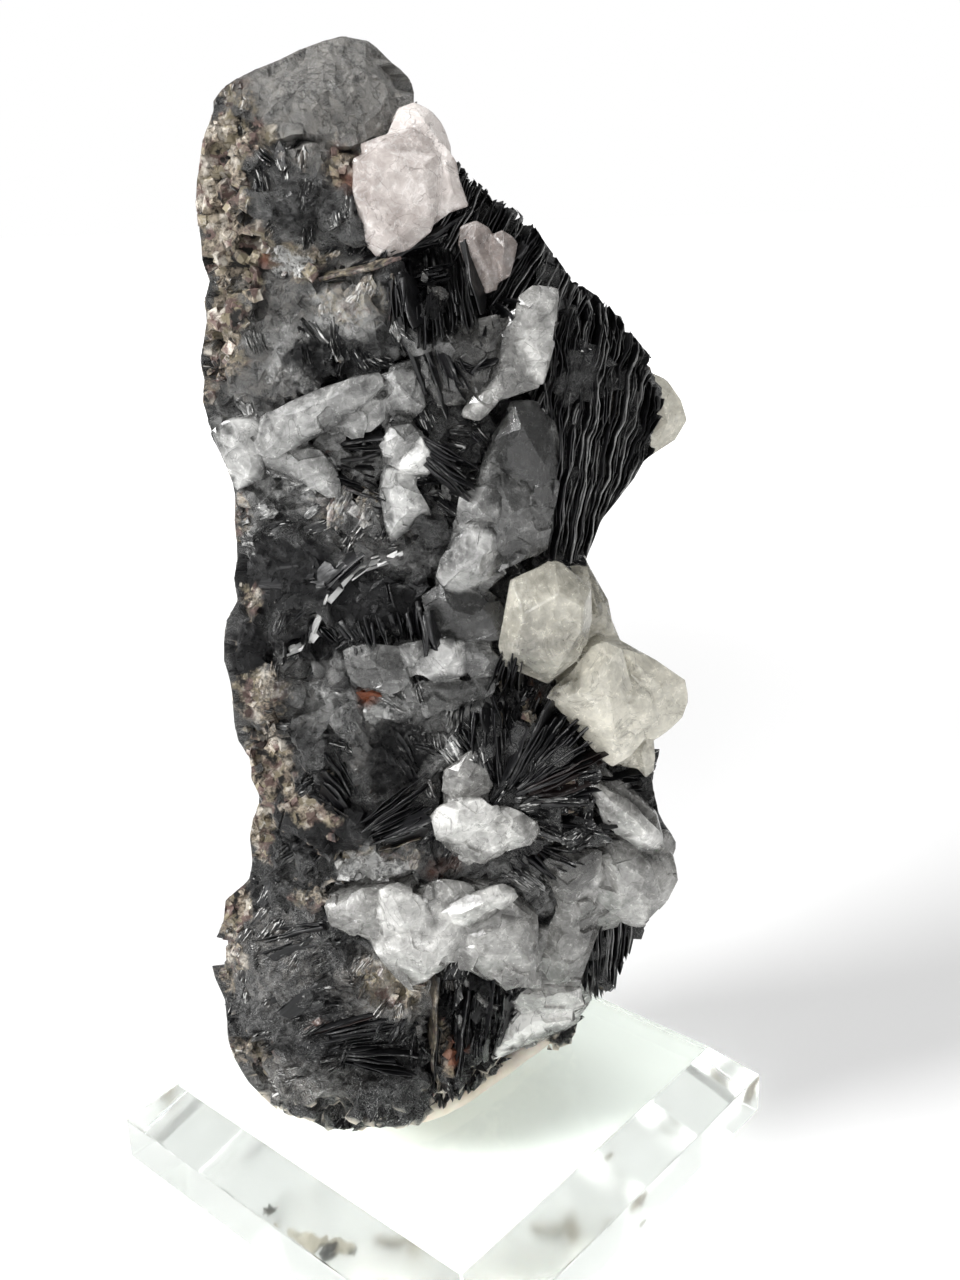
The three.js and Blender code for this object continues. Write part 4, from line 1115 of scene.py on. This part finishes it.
# Sprays set on the mass: lines of roots and tips in pixels of the frame
SPRAYS = (
    dict(roots=((500, 292), (518, 262), (521, 240)), tips=((520, 214), (540, 240), (562, 282)), count=9,
         lift=1.2),
    dict(roots=((386, 268), (430, 250), (462, 232)), tips=((392, 335), (440, 335), (478, 325)), count=34,
         lift=2.6, depth=4, thick=0.45),
    dict(roots=((470, 300), (500, 300)), tips=((470, 350), (520, 300)), count=8),
    dict(roots=((310, 285), (350, 268), (400, 255)), tips=((400, 262), (440, 240), (470, 216)), count=9,
         lift=1.4, depth=1.6, thick=0.5, lean=10),
    dict(roots=((384, 272), (400, 262)), tips=((430, 400), (445, 420)), count=7, lift=1.6, depth=1.8,
         thick=0.6, lean=20),
    dict(roots=((430, 330), (470, 380)), tips=((448, 418), (500, 350)), count=8, lift=1.2),
    dict(roots=((405, 430), (420, 455)), tips=((480, 470), (470, 500)), count=14, lift=1.4, thick=0.45),
    dict(roots=((332, 445), (345, 500)), tips=((376, 440), (382, 520)), count=12, lean=10),
    dict(roots=((245, 560), (260, 600)), tips=((300, 548), (330, 600)), count=7, lift=0.8, thick=0.8,
         lean=60),
    dict(roots=((265, 645), (300, 612)), tips=((355, 562), (372, 552)), count=10, lift=0.9, thick=0.4,
         lean=35),
    dict(roots=((310, 622), (360, 618), (420, 600)), tips=((330, 640), (372, 648), (428, 640)), count=18,
         lift=1.4, thick=0.45),
    dict(roots=((418, 600), (426, 600)), tips=((428, 660), (436, 662)), count=3, lift=2.0, thick=0.6),
    dict(roots=((496, 790), (499, 788), (502, 788)), tips=((452, 738), (486, 712), (520, 702)), count=20,
         lift=1.6, depth=5, thick=0.5),
    dict(roots=((503, 792), (508, 794), (512, 797)), tips=((520, 702), (572, 712), (604, 750)), count=26,
         lift=1.8, depth=5, thick=0.6),
    dict(roots=((512, 798), (522, 804), (530, 810)), tips=((606, 756), (594, 782), (590, 812)), count=20,
         lift=1.6, depth=4, thick=0.55, lean=25),
    dict(roots=((542, 824), (543, 836)), tips=((618, 826), (626, 844)), count=5, lift=1.6, depth=3,
         thick=0.4),
    dict(roots=((540, 842), (528, 852), (505, 858)), tips=((600, 850), (560, 880), (520, 880)), count=10,
         lift=1.2),
    dict(roots=((470, 700), (520, 690)), tips=((470, 760), (545, 740)), count=9),
    dict(roots=((345, 820), (360, 800)), tips=((290, 800), (330, 740)), count=8, lift=0.9),
    dict(roots=((350, 830), (372, 850)), tips=((430, 770), (440, 830)), count=10, lift=0.9),
    dict(roots=((330, 920), (345, 960)), tips=((250, 930), (270, 1020)), count=10, lift=0.8, lean=35),
    dict(roots=((300, 1040), (330, 1060)), tips=((400, 1010), (420, 1080)), count=12, lift=0.9, lean=25),
    dict(roots=((440, 975), (470, 975), (505, 985)), tips=((430, 1110), (455, 1090), (500, 1050)), count=20,
         lift=1.8, depth=6, thick=0.5),
    dict(roots=((505, 640), (520, 660)), tips=((480, 700), (520, 700)), count=6),
)


# Folded ribbons in the smooth dark areas, bright with painted silver glint: their lines in pixels of the
# frame and their width
RIBBONS = (
    (((272, 655), (288, 648), (302, 640), (312, 630), (318, 616), (326, 600), (338, 586), (350, 572),
      (360, 564), (376, 560), (392, 552), (400, 550)), 0.85),
    (((284, 656), (298, 650), (310, 640), (320, 628)), 0.5),
    (((334, 578), (346, 566), (358, 558), (374, 554)), 0.5),
    (((352, 578), (366, 568), (384, 562)), 0.35),
)


RIBBON_LIFT = 0.25 * MM
RIBBON_OVERLAP = 1.35


def add_ribbons(heap, template, ground):
    """Chains of narrow plates along the lines of the ribbons, bright with painted silver glint."""
    rng = np.random.default_rng(58)
    for line, width in RIBBONS:
        for start, stop in zip(line, line[1:]):
            first, last = ground.hit(*start), ground.hit(*stop)
            if first is None or last is None:
                continue
            out = unit(first[1] + last[1]) * RIBBON_LIFT
            across = np.cross(last[0] - first[0], out)
            tip = last[0] * RIBBON_OVERLAP - first[0] * (RIBBON_OVERLAP - 1) + out
            add_plate(heap, template, rng, first[0] + out, tip, across, width * MM * rng.uniform(0.6, 1.3),
                      thick=0.4 * MM, wave=0.05 * MM, jag=0.15 * MM, silver=0.9)


def make_sprays(material, template, ground):
    heap = Heap()
    for number, one in enumerate(SPRAYS):
        spray(heap, template, ground, seed=500 + number, **one)
    add_ribbons(heap, template, ground)
    heap.make("surface_blades", material, degrees=40)


SURFACE_TRIES = 14200
OVERGROWTH_TRIES = 420
# Of every so many places, so many get a book of plates
BOOK_CYCLE, BOOKS_PER_CYCLE = 12, 3
# From this weight of the brown matrix or of quartz film, crumbs lie there instead of books
CRUMB_WEIGHT = 0.42
REAR_SHARE = 0.5
# Below this height nothing is set on surfaces that look down or sideways
FOOT_TOP = 26 * MM
# Where no books lie: middles and half sizes in pixels of the frame
BARE = ((330, 85, 95, 60), (600, 425, 70, 150), (540, 235, 60, 60), (620, 945, 30, 50), (300, 560, 70, 30))
PLATE_STRETCH, CRUMB_STRETCH, OVERGROWTH_STRETCH = 1.9, 1.2, 1.8


def surface_samples(piece, count, rng):
    """Points spread evenly over a mesh, with their normals."""
    points = points_of(piece)
    corners = np.array([face.vertices[:3] for face in piece.data.polygons])
    a, b, c = points[corners[:, 0]], points[corners[:, 1]], points[corners[:, 2]]
    cross = np.cross(b - a, c - a)
    area = np.linalg.norm(cross, axis=1)
    chosen = rng.choice(len(corners), size=count, p=area / area.sum())
    place = (a + b + c)[chosen] / 3
    return place, unit(cross[chosen])


def frame_on(normal, lay, lean, rng):
    """The three axes of a crystal plate that lies that way on the surface."""
    along = unit(lay + normal * rng.normal() * 0.12)
    across = np.cross(normal, along)
    angle = math.radians(lean)
    deep = unit(normal * math.cos(angle) + across * math.sin(angle))
    return np.array([along, deep, np.cross(along, deep)])


def add_flake(heap, template, rng, place, axes, size, stretch):
    """One plate or crumb with corners moved at random, longer along its first axis."""
    points, faces = template
    shape = points * rng.uniform(0.55, 1.3, size=(len(points), 1))
    shape = shape * np.array([size * stretch, size, size])
    heap.add(place + shape @ axes, faces, axes[0], centre=place)


def add_book(heap, template, rng, place, normal, lay, size, lean):
    """A stack of crystal plates that lie the same way, like the pages of a book."""
    axes = frame_on(normal, lay, lean, rng)
    leaves = rng.integers(2, 7)
    step = rng.uniform(0.28, 0.42) * MM
    for leaf in range(leaves):
        shift = axes[2] * (leaf - leaves / 2) * step + axes[0] * rng.normal() * size * 0.18
        shift = shift + axes[1] * rng.normal() * size * 0.1 - normal * size * 0.2
        add_flake(heap, template, rng, place + shift, axes, size * rng.uniform(0.75, 1.1), PLATE_STRETCH)


def add_overgrowth(books, quartz, mass, template, rng):
    """Small dark plates over the borders of the quartz, where it grows out of the mass."""
    stone_tree = Ground([mass]).tree
    for piece in quartz:
        place, normal = surface_samples(piece, OVERGROWTH_TRIES, rng)
        for spot, out in zip(place, normal):
            away = stone_tree.find_nearest(spot)[3]
            if away > rng.uniform(0.2, 1.5) * MM:
                continue
            lay = unit(np.cross(out, rng.normal(size=3)))
            axes = frame_on(out, lay, rng.uniform(10, 80), rng)
            size = rng.uniform(0.35, 1.0) * MM
            add_flake(books, template, rng, spot, axes, size, OVERGROWTH_STRETCH)


def make_flakes(mass, quartz, material, flake, crumb):
    """Books of crystal plates over the mass, and crumbs where the brown matrix and quartz grains are."""
    rng = np.random.default_rng(77)
    place, normal = surface_samples(mass, SURFACE_TRIES, rng)
    lay = lay_of(place, normal)
    guides = nearest_guides(place)
    weights = paint_weights(place, normal)
    seen = pixels_of(place)
    facing = facing_of(place, normal)
    books, crumbs = Heap(), Heap()
    for index in range(len(place)):
        if facing[index] < -0.2 and rng.random() > REAR_SHARE:
            continue
        if place[index][2] < FOOT_TOP and normal[index][2] < 0.05:
            continue
        if max(weights["earth"][index], weights["milk"][index]) > CRUMB_WEIGHT:
            axes = frame_on(normal[index], lay[index], rng.uniform(0, 90), rng)
            size = rng.uniform(0.4, 1.5) ** 1.3 * MM
            add_flake(crumbs, crumb, rng, place[index], axes, size, CRUMB_STRETCH)
            continue
        if index % BOOK_CYCLE >= BOOKS_PER_CYCLE:
            continue
        u, v = seen[index]
        bare = any(((u - x) / w) ** 2 + ((v - y) / h) ** 2 < 1 for x, y, w, h in BARE)
        if facing[index] > -0.5 and bare:
            continue
        size, lean = GUIDES[guides[index]][3:]
        lean = lean + rng.normal() * 8
        if abs(facing[index]) < 0.4:
            continue
        add_book(books, flake, rng, place[index], normal[index], lay[index],
                 size * MM * rng.uniform(0.45, 1.0), lean)
    add_overgrowth(books, quartz, mass, flake, rng)
    books.make("crystal_books", material, degrees=30)
    crumbs.make("matrix_crumbs", material, degrees=30)


# ---------------------------------------------------------------- quartz
# Each crystal: its front in y and how far its rim drops back (millimetres), how deep it reaches, its tone
# (-1 clear and dark, 1 milky and bright), its corners and its high points in pixels of the frame.
CRYSTALS = {
    "upper_quartz_block": (
        (-13.6, 1.8, -3, 1.6, ((388, 132), (398, 108), (414, 102), (430, 109), (441, 122), (450, 140),
         (452, 160), (438, 160), (420, 138)), ((424, 122), (440, 142))),
        (-15.6, 1.0, -6, 0.6, ((362, 158), (360, 144), (380, 136), (402, 130), (412, 128), (432, 140),
         (440, 154), (410, 157)), ((385, 145), (420, 143))),
        (-15.8, 1.4, -6, 0.8, ((437, 152), (452, 158), (458, 178), (469, 206), (455, 207), (441, 216),
         (437, 205)), ((446, 165), (452, 192))),
        (-16.6, 1.1, -6, 0.6, ((353, 158), (378, 148), (402, 152), (437, 155), (439, 190), (437, 216),
         (431, 232), (412, 248), (392, 258), (376, 257), (364, 243), (358, 215), (352, 190)),
         ((374, 172), (424, 165), (430, 212), (388, 246), (370, 220))),
    ),
    "small_pink_crystal": (
        (-15.9, 1.2, -7, 0.0, ((460, 226), (476, 220), (490, 228), (496, 250), (500, 268), (497, 290),
         (486, 294), (476, 280), (464, 262), (458, 244)), ((474, 238), (487, 272))),
        (-16.8, 1.4, -7, -0.1, ((493, 234), (502, 230), (512, 236), (518, 243), (515, 258), (510, 276),
         (501, 282), (497, 265), (492, 250)), ((504, 246), (503, 262))),
    ),
    "upper_quartz_shard": (
        (-16.8, 1.6, -8, -0.85, ((420, 345), (436, 330), (462, 326), (500, 320), (518, 312), (514, 350),
         (505, 380), (482, 400), (450, 404), (438, 404), (426, 380)), ((450, 350), (490, 342), (470, 382))),
        (-18.0, 0.8, -9, 0.45, ((463, 414), (470, 402), (484, 388), (502, 384), (497, 400), (487, 412),
         (478, 420), (470, 419)), ((482, 402),)),
        (-17.6, 0.9, -9, -0.2, ((494, 372), (506, 335), (512, 312), (524, 300), (545, 352), (541, 385),
         (520, 390), (500, 398), (489, 400)), ((515, 345), (512, 378))),
        (-18.7, 0.8, -9, 0.4, ((520, 298), (534, 287), (548, 289), (557, 290), (557, 312), (552, 345),
         (546, 368), (541, 384), (528, 378), (518, 350), (516, 320)),
         ((531, 300), (548, 298), (532, 335), (542, 350))),
    ),
    "grey_quartz_band": (
        (-16.6, 1.4, -6, 0.7, ((213, 432), (230, 420), (252, 416), (264, 424), (264, 452), (262, 478),
         (248, 480), (238, 490), (228, 472), (220, 450)), ((240, 436), (248, 462))),
        (-16.6, 1.2, -6, 0.35, ((262, 455), (285, 452), (308, 446), (322, 448), (330, 462), (338, 480),
         (340, 495), (325, 496), (300, 480), (282, 470), (268, 466)), ((300, 460), (326, 480))),
        (-17.2, 1.2, -8, 0.25, ((384, 378), (398, 370), (414, 372), (420, 385), (424, 405), (412, 418),
         (400, 412), (388, 404)), ((402, 384), (408, 402))),
        (-17.2, 1.0, -8, 0.15, ((338, 428), (350, 414), (372, 400), (386, 396), (388, 420), (372, 434),
         (352, 437)), ((366, 416),)),
        (-18.0, 1.4, -7, 0.3, ((258, 448), (262, 418), (290, 400), (330, 386), (350, 378), (378, 374),
         (386, 386), (372, 400), (352, 412), (330, 426), (312, 437), (290, 450), (276, 457), (264, 456)),
         ((286, 416), (338, 394), (272, 442), (322, 420))),
        (-17.8, 1.6, -8, 0.15, ((380, 442), (392, 424), (412, 421), (421, 432), (418, 452), (402, 468),
         (388, 463)), ((400, 438),)),
        (-17.0, 1.2, -8, 0.6, ((384, 470), (400, 466), (412, 470), (420, 490), (428, 505), (431, 514),
         (415, 523), (402, 532), (390, 541), (394, 520), (386, 505), (380, 488)),
         ((398, 484), (412, 505), (400, 520))),
        (-17.8, 1.2, -8, 1.0, ((416, 440), (424, 437), (434, 452), (437, 462), (426, 475), (410, 473),
         (397, 467), (408, 456)), ((424, 454), (412, 466))),
    ),
    "centre_quartz": (
        (-17.6, 2.0, -7, -0.85, ((492, 440), (500, 430), (508, 412), (514, 400), (535, 401), (553, 420),
         (560, 450), (557, 490), (549, 525), (530, 500), (500, 470)), ((522, 428), (543, 465), (515, 452))),
        (-17.6, 1.6, -8, -0.35, ((478, 490), (484, 462), (500, 468), (530, 492), (552, 525), (549, 545),
         (536, 554), (522, 550), (506, 561), (498, 573), (492, 560), (486, 520)),
         ((505, 490), (520, 530), (500, 540))),
        (-18.6, 1.4, -9, 0.2, ((458, 498), (472, 490), (490, 486), (500, 500), (497, 522), (478, 529),
         (462, 531), (457, 515)), ((478, 504), (486, 515))),
        (-18.2, 1.6, -8, -0.65, ((423, 594), (438, 582), (450, 590), (478, 586), (496, 598), (507, 620),
         (501, 641), (470, 642), (440, 641), (429, 622)), ((450, 606), (480, 612))),
        (-19.4, 1.7, -9, 0.4, ((438, 577), (442, 560), (456, 538), (466, 530), (490, 530), (498, 538),
         (498, 560), (492, 576), (480, 586), (462, 593), (448, 592)),
         ((470, 543), (455, 574), (488, 545), (480, 572))),
    ),
    "right_quartz_cluster": (
        (-11, 2.5, 3, -0.2, ((572, 566), (586, 562), (599, 585), (609, 600), (612, 622), (604, 634),
         (592, 641), (588, 600)), ((596, 605),)),
        (-13.4, 1.6, 2, 0.5, ((630, 738), (646, 738), (655, 755), (654, 770), (646, 778), (634, 765),
         (627, 755)), ((642, 752),)),
        (-16.0, 2.2, 3, 0.55, ((620, 648), (645, 654), (662, 668), (680, 673), (688, 684), (688, 702),
         (682, 718), (668, 731), (655, 740), (640, 738), (630, 700), (618, 682)),
         ((640, 668), (662, 688), (650, 715))),
        (-17.4, 1.0, -8, -0.2, ((546, 698), (552, 688), (566, 676), (582, 671), (578, 685), (560, 694)),
         ((566, 684),)),
        (-18.8, 2.4, -4, 0.6, ((549, 699), (566, 687), (582, 681), (584, 662), (592, 645), (606, 641),
         (622, 648), (626, 668), (634, 700), (646, 738), (630, 757), (612, 767), (602, 760), (600, 742),
         (590, 724), (570, 712)), ((588, 692), (606, 662), (612, 706), (616, 738))),
        (-21.2, 3.0, -9, -0.05, ((510, 580), (522, 574), (555, 560), (563, 563), (576, 581), (591, 588),
         (592, 603), (592, 619), (587, 641), (578, 660), (562, 672), (548, 684), (532, 672), (504, 666),
         (498, 646), (508, 622), (514, 612)),
         ((524, 614), (560, 593), (584, 606), (582, 634), (562, 662), (514, 652))),
    ),
    "rear_cream_crystal": (
        (0.2, 2.4, 10, 0.6, ((648, 371), (664, 378), (680, 392), (690, 409), (685, 426), (672, 441),
         (655, 453), (640, 445), (636, 400)), ((662, 398), (668, 422))),
    ),
    "middle_quartz_strip": (
        (-17.2, 1.0, -10, -0.35, ((402, 684), (436, 680), (470, 680), (499, 678), (493, 694), (460, 703),
         (430, 707), (408, 701)), ((430, 690), (470, 690))),
        (-17.6, 1.1, -10, -0.15, ((343, 652), (362, 644), (395, 648), (408, 668), (413, 680), (400, 691),
         (380, 691), (355, 683), (346, 668)), ((366, 660), (392, 668))),
        (-18.2, 1.0, -10, -0.3, ((460, 642), (488, 648), (501, 662), (498, 674), (470, 677), (460, 666)),
         ((476, 656), (486, 666))),
        (-18.4, 0.9, -10, 0.25, ((396, 648), (420, 641), (430, 658), (440, 664), (436, 677), (416, 677)),
         ((416, 656),)),
        (-18.8, 1.0, -10, 0.65, ((437, 640), (460, 640), (465, 660), (463, 676), (440, 680), (416, 677),
         (430, 666)), ((448, 652), (450, 668))),
    ),
    "white_quartz_clump": (
        (-19.4, 1.2, -10, 0.4, ((455, 842), (478, 840), (483, 855), (470, 865), (458, 856)), ((468, 850),)),
        (-20.0, 1.7, -10, -0.1, ((446, 768), (456, 762), (472, 752), (482, 752), (488, 768), (492, 790),
         (484, 802), (460, 803), (443, 796)), ((464, 775), (478, 785))),
        (-21.2, 2.0, -10, 0.5, ((496, 808), (508, 807), (520, 812), (536, 822), (539, 832), (528, 846),
         (505, 851), (480, 853), (470, 844), (490, 830)), ((508, 826), (522, 834))),
        (-21.8, 1.8, -10, 0.75, ((435, 837), (431, 818), (440, 806), (456, 800), (480, 797), (497, 806),
         (501, 820), (490, 833), (470, 843), (450, 843)), ((460, 812), (486, 814), (455, 832))),
    ),
    "lower_quartz_band": (
        (-18.8, 1.4, -10, 0.3, ((328, 906), (345, 898), (365, 889), (386, 890), (386, 925), (370, 936),
         (348, 931), (332, 916)), ((352, 908), (372, 915))),
        (-19.6, 1.2, -10, -0.05, ((422, 888), (440, 881), (470, 883), (478, 896), (452, 903), (438, 912),
         (428, 906)), ((450, 892),)),
        (-20.2, 1.6, -9, 0.25, ((458, 942), (480, 925), (505, 917), (523, 918), (531, 930), (535, 945),
         (539, 960), (535, 976), (520, 985), (505, 989), (490, 981), (476, 969), (460, 968)),
         ((488, 936), (518, 932), (526, 960), (498, 962))),
        (-20.6, 1.4, -10, 0.6, ((438, 914), (455, 902), (478, 894), (500, 884), (513, 890), (517, 898),
         (508, 906), (490, 911), (480, 921), (460, 927), (444, 923)), ((464, 910), (496, 896))),
        (-20.6, 1.6, -10, 0.9, ((378, 908), (381, 888), (398, 884), (411, 892), (421, 894), (426, 905),
         (431, 913), (426, 927), (410, 937), (392, 936), (380, 926)), ((398, 902), (406, 922))),
        (-20.8, 1.8, -10, 0.5, ((373, 947), (381, 938), (400, 933), (425, 926), (452, 924), (461, 940),
         (450, 962), (430, 979), (414, 979), (398, 967), (381, 959)), ((398, 948), (430, 944), (424, 968))),
    ),
    "lower_right_quartz": (
        (-10.5, 1.4, -2, 0.4, ((656, 830), (668, 832), (675, 845), (668, 862), (655, 858)), ((664, 844),)),
        (-16.0, 1.8, -6, 0.0, ((558, 905), (576, 899), (592, 891), (607, 903), (600, 918), (583, 935),
         (583, 960), (577, 986), (560, 987), (545, 976), (539, 955), (547, 930)),
         ((574, 915), (562, 945), (566, 972))),
        (-17.8, 1.4, -8, -0.45, ((544, 862), (556, 855), (575, 851), (600, 849), (600, 868), (592, 885),
         (577, 899), (565, 901), (556, 893), (547, 876)), ((572, 862), (584, 876))),
        (-16.6, 2.6, 2, 0.4, ((598, 852), (612, 844), (634, 849), (642, 860), (662, 866), (676, 880),
         (669, 899), (655, 908), (640, 927), (625, 922), (606, 907), (594, 906), (585, 896), (594, 875)),
         ((612, 862), (640, 880), (618, 894), (650, 896))),
        (-14.6, 2.6, -3, -0.6, ((632, 866), (640, 852), (662, 848), (672, 862), (676, 880), (655, 880)),
         ((655, 864),)),
        (-17.9, 1.8, -8, 0.55, ((585, 780), (596, 783), (620, 796), (640, 811), (656, 828), (661, 839),
         (656, 849), (640, 850), (625, 834), (604, 823), (599, 808), (591, 795)),
         ((608, 800), (634, 820), (646, 836))),
    ),
    "foot_quartz": (
        (-15.0, 1.6, -3, 0.6, ((508, 990), (525, 984), (560, 982), (580, 988), (585, 1006), (572, 1010),
         (548, 1012), (520, 1016)), ((535, 996), (566, 994))),
        (-13.6, 1.6, -2, 1.0, ((508, 1012), (548, 1008), (575, 1006), (574, 1022), (548, 1027), (530, 1038),
         (512, 1046), (498, 1058), (492, 1060), (500, 1036)), ((530, 1020), (512, 1036))),
    ),
}
# The looks of each kind: the CAD nodes, colours where milky and clear and of the veils, how rough the faces
# are, the tone of the rear, how many flaws show, and how far the CAD solid lies behind the crystals' faces
QUARTZ = {
    "pink_quartz": dict(
        nodes=("upper_quartz_block", "small_pink_crystal"),
        milky=(0.58, 0.535, 0.51), clear=(0.47, 0.40, 0.37), veil=(0.80, 0.78, 0.76),
        rough=0.1, rear=0.3, flawed=0.5, bedding=1.1 * MM),
    "white_quartz": dict(
        nodes=("upper_quartz_shard", "white_quartz_clump", "lower_quartz_band", "lower_right_quartz",
               "foot_quartz"),
        milky=(0.74, 0.735, 0.71), clear=(0.31, 0.305, 0.29), veil=(0.80, 0.795, 0.77),
        rough=0.55, rear=0.1, flawed=0.5, bedding=1.1 * MM),
    "grey_quartz": dict(
        nodes=("grey_quartz_band", "centre_quartz", "middle_quartz_strip"),
        milky=(0.68, 0.677, 0.66), clear=(0.19, 0.19, 0.185), veil=(0.62, 0.62, 0.605),
        rough=0.6, rear=0.0, flawed=0.45, bedding=1.8 * MM),
    "cream_quartz": dict(
        nodes=("right_quartz_cluster", "rear_cream_crystal"),
        milky=(0.80, 0.77, 0.67), clear=(0.52, 0.50, 0.43), veil=(0.84, 0.83, 0.77),
        rough=0.12, rear=0.4, flawed=0.3, bedding=1.1 * MM),
}
QUARTZ_VOXEL = 0.27 * MM
BORDER = 0.9 * MM
TONE_WARP = 2


def point_at(u, v, y):
    """The point on a pixel's line of sight that lies at y, in millimetres."""
    ray = np.array(pixel_ray(u, v))
    return np.array(EYE) + ray * ((y * MM - EYE[1]) / ray[1])


def crystal_solid(front, drop, back, corners, peaks):
    """One crystal: flat faces between its corners, its high points and its buried back."""
    middle = np.mean(corners, axis=0)
    points = [point_at(u, v, front + drop) for u, v in corners]
    points += [point_at(u, v, front) for u, v in peaks]
    points += [point_at(*(middle + (np.array(corner) - middle) * 0.85), back) for corner in corners]
    data = bpy.data.meshes.new("crystal")
    data.from_pydata([tuple(point) for point in points], [], [])
    piece = bpy.data.objects.new("crystal", data)
    bpy.context.scene.collection.objects.link(piece)
    activate(piece)
    bpy.ops.object.mode_set(mode="EDIT")
    bpy.ops.mesh.select_all(action="SELECT")
    bpy.ops.mesh.convex_hull()
    bpy.ops.object.mode_set(mode="OBJECT")
    return piece


def join_to(piece, others):
    deselect()
    for other in others:
        other.select_set(True)
    piece.select_set(True)
    bpy.context.view_layer.objects.active = piece
    bpy.ops.object.join()


def inside(places, corners):
    """Which of the places lie inside a polygon."""
    u, v = places.T
    found = np.zeros(len(places), bool)
    for (u0, v0), (u1, v1) in zip(corners, corners[1:] + corners[:1]):
        if v0 == v1:
            continue
        crossed = ((v0 > v) != (v1 > v)) & (u < (u1 - u0) * (v - v0) / (v1 - v0) + u0)
        found ^= crossed
    return found


def tone_of(points, normals, crystals, rear):
    """How milky and bright each point is: by the crystal that the camera sees there."""
    places = pixels_of(points) + bend(points, 1.5 * MM, 71, 72) * TONE_WARP
    tone = np.full(len(points), float(rear)) - 0.2
    for front, _, _, level, corners, _ in sorted(crystals, key=lambda one: -one[0]):
        tone[inside(places, corners)] = level
    facing = facing_of(points, normals)
    return np.where(facing < -0.1, rear, tone)


def make_quartz_piece(node, look, material, slot, seed, stone_tree):
    """A CAD group sunk a little, with its crystals on it, all made one flat-faced body."""
    piece = copy_of(node, node + "_crystals")
    points, normals = points_of(piece), normals_of(piece)
    sunk = look["bedding"] * np.clip(facing_of(points, normals) + 0.3, 0, 1)
    set_points(piece, points - normals * sunk[:, None])
    join_to(piece, [crystal_solid(front, drop, back, corners, peaks)
                    for front, drop, back, _, corners, peaks in CRYSTALS[node]])
    apply_modifier(piece, "REMESH", mode="VOXEL", voxel_size=QUARTZ_VOXEL, adaptivity=0.0)
    rough = look["rough"]
    if rough > 0.2:
        chip(piece, 4.5 * MM, tilt=0.14 * rough, limit=0.3 * MM, seed=seed, rise=0.06 * MM * rough)
    points, normals = points_of(piece), normals_of(piece)
    swell = value_noise(points, 1.2 * MM, 73) * 0.05 * rough
    set_points(piece, trim(points + normals * (swell * MM)[:, None], 0))
    crisp(piece, max(1500, len(piece.data.polygons) // 10))
    points, normals = points_of(piece), normals_of(piece)
    write_value(piece, "tone", tone_of(points, normals, CRYSTALS[node], look["rear"]))
    away = np.array([stone_tree.find_nearest(point)[3] for point in points])
    write_value(piece, "border", np.clip(1 - away / BORDER, 0, 1))
    shade(piece, degrees=9)
    finish_piece(piece, material, slot, node)
    return piece


def make_quartz(mass):
    """The quartz pieces; each point's border value tells how close it lies to the dark mass."""
    stone_tree = Ground([mass]).tree
    pieces = []
    for slot, look in QUARTZ.items():
        colours = look["milky"], look["clear"], look["veil"]
        material = quartz_finish(slot + "_finish", *colours, look["flawed"])
        for number, node in enumerate(look["nodes"]):
            pieces.append(make_quartz_piece(node, look, material, slot, 80 + number, stone_tree))
    return pieces


# ---------------------------------------------------------------- base and putty
BASE_SIDE = 76 * MM
BASE_HEIGHT = 14 * MM
BASE_BEVEL = 6.5 * MM


def make_base():
    """A square block, turned a corner to the front, its top edges cut to a wide mitred bevel."""
    deselect()
    bpy.ops.mesh.primitive_cube_add(size=1, location=(0, 0, BASE_HEIGHT / 2), rotation=(0, 0, math.pi / 4))
    piece = bpy.context.object
    piece.name = "clear_base"
    piece.scale = (BASE_SIDE, BASE_SIDE, BASE_HEIGHT)
    bpy.ops.object.transform_apply(location=True, rotation=True, scale=True)
    bpy.ops.object.mode_set(mode="EDIT")
    bpy.ops.mesh.select_all(action="SELECT")
    bpy.ops.mesh.bisect(plane_co=(0, 0, BASE_HEIGHT - BASE_BEVEL), plane_no=(0, 0, 1))
    bpy.ops.mesh.select_all(action="DESELECT")
    bpy.ops.object.mode_set(mode="OBJECT")
    for face in piece.data.polygons:
        face.select = face.normal.z > 0.9
    bpy.ops.object.mode_set(mode="EDIT")
    inner = (BASE_SIDE - 2 * BASE_BEVEL) / BASE_SIDE
    bpy.ops.transform.resize(value=(inner, inner, 1), center_override=(0, 0, BASE_HEIGHT))
    bpy.ops.object.mode_set(mode="OBJECT")
    apply_modifier(piece, "BEVEL", width=0.22 * MM, segments=2, limit_method="ANGLE",
                   angle_limit=math.radians(20))
    shade(piece, degrees=12)
    finish_piece(piece, base_finish(), "clear_base", "display_base")
    piece.visible_shadow = False


def make_putty():
    """The pad between specimen and base, rounded and a little uneven above the base."""
    piece = copy_of("mounting_putty", "putty_pad")
    apply_modifier(piece, "REMESH", mode="VOXEL", voxel_size=0.5 * MM, adaptivity=0.0)
    apply_modifier(piece, "SMOOTH", factor=0.5, iterations=6)
    points = points_of(piece)
    normals = normals_of(piece)
    swell = value_noise(points, 6 * MM, 51) * 0.35 + value_noise(points, 2.5 * MM, 52) * 0.15
    keep = np.clip((points[:, 2] - 14.5 * MM) / MM, 0, 1)
    set_points(piece, points + normals * (swell * keep * MM)[:, None])
    shade(piece, degrees=50)
    finish_piece(piece, putty_finish(), "putty", "mounting_putty")


make_camera()
make_floor()
make_lamps()
make_backdrop()
set_up_render()
make_base()
make_putty()
stone = specularite_finish()
blades = blade_finish()
mass = make_mass(stone)
quartz = make_quartz(mass)
ground = Ground([mass, *quartz])
make_standing(blades, sheet_template(26))
make_sprays(blades, sheet_template(10), ground)
make_flakes(mass, quartz, stone, flake_template(), chip_template())
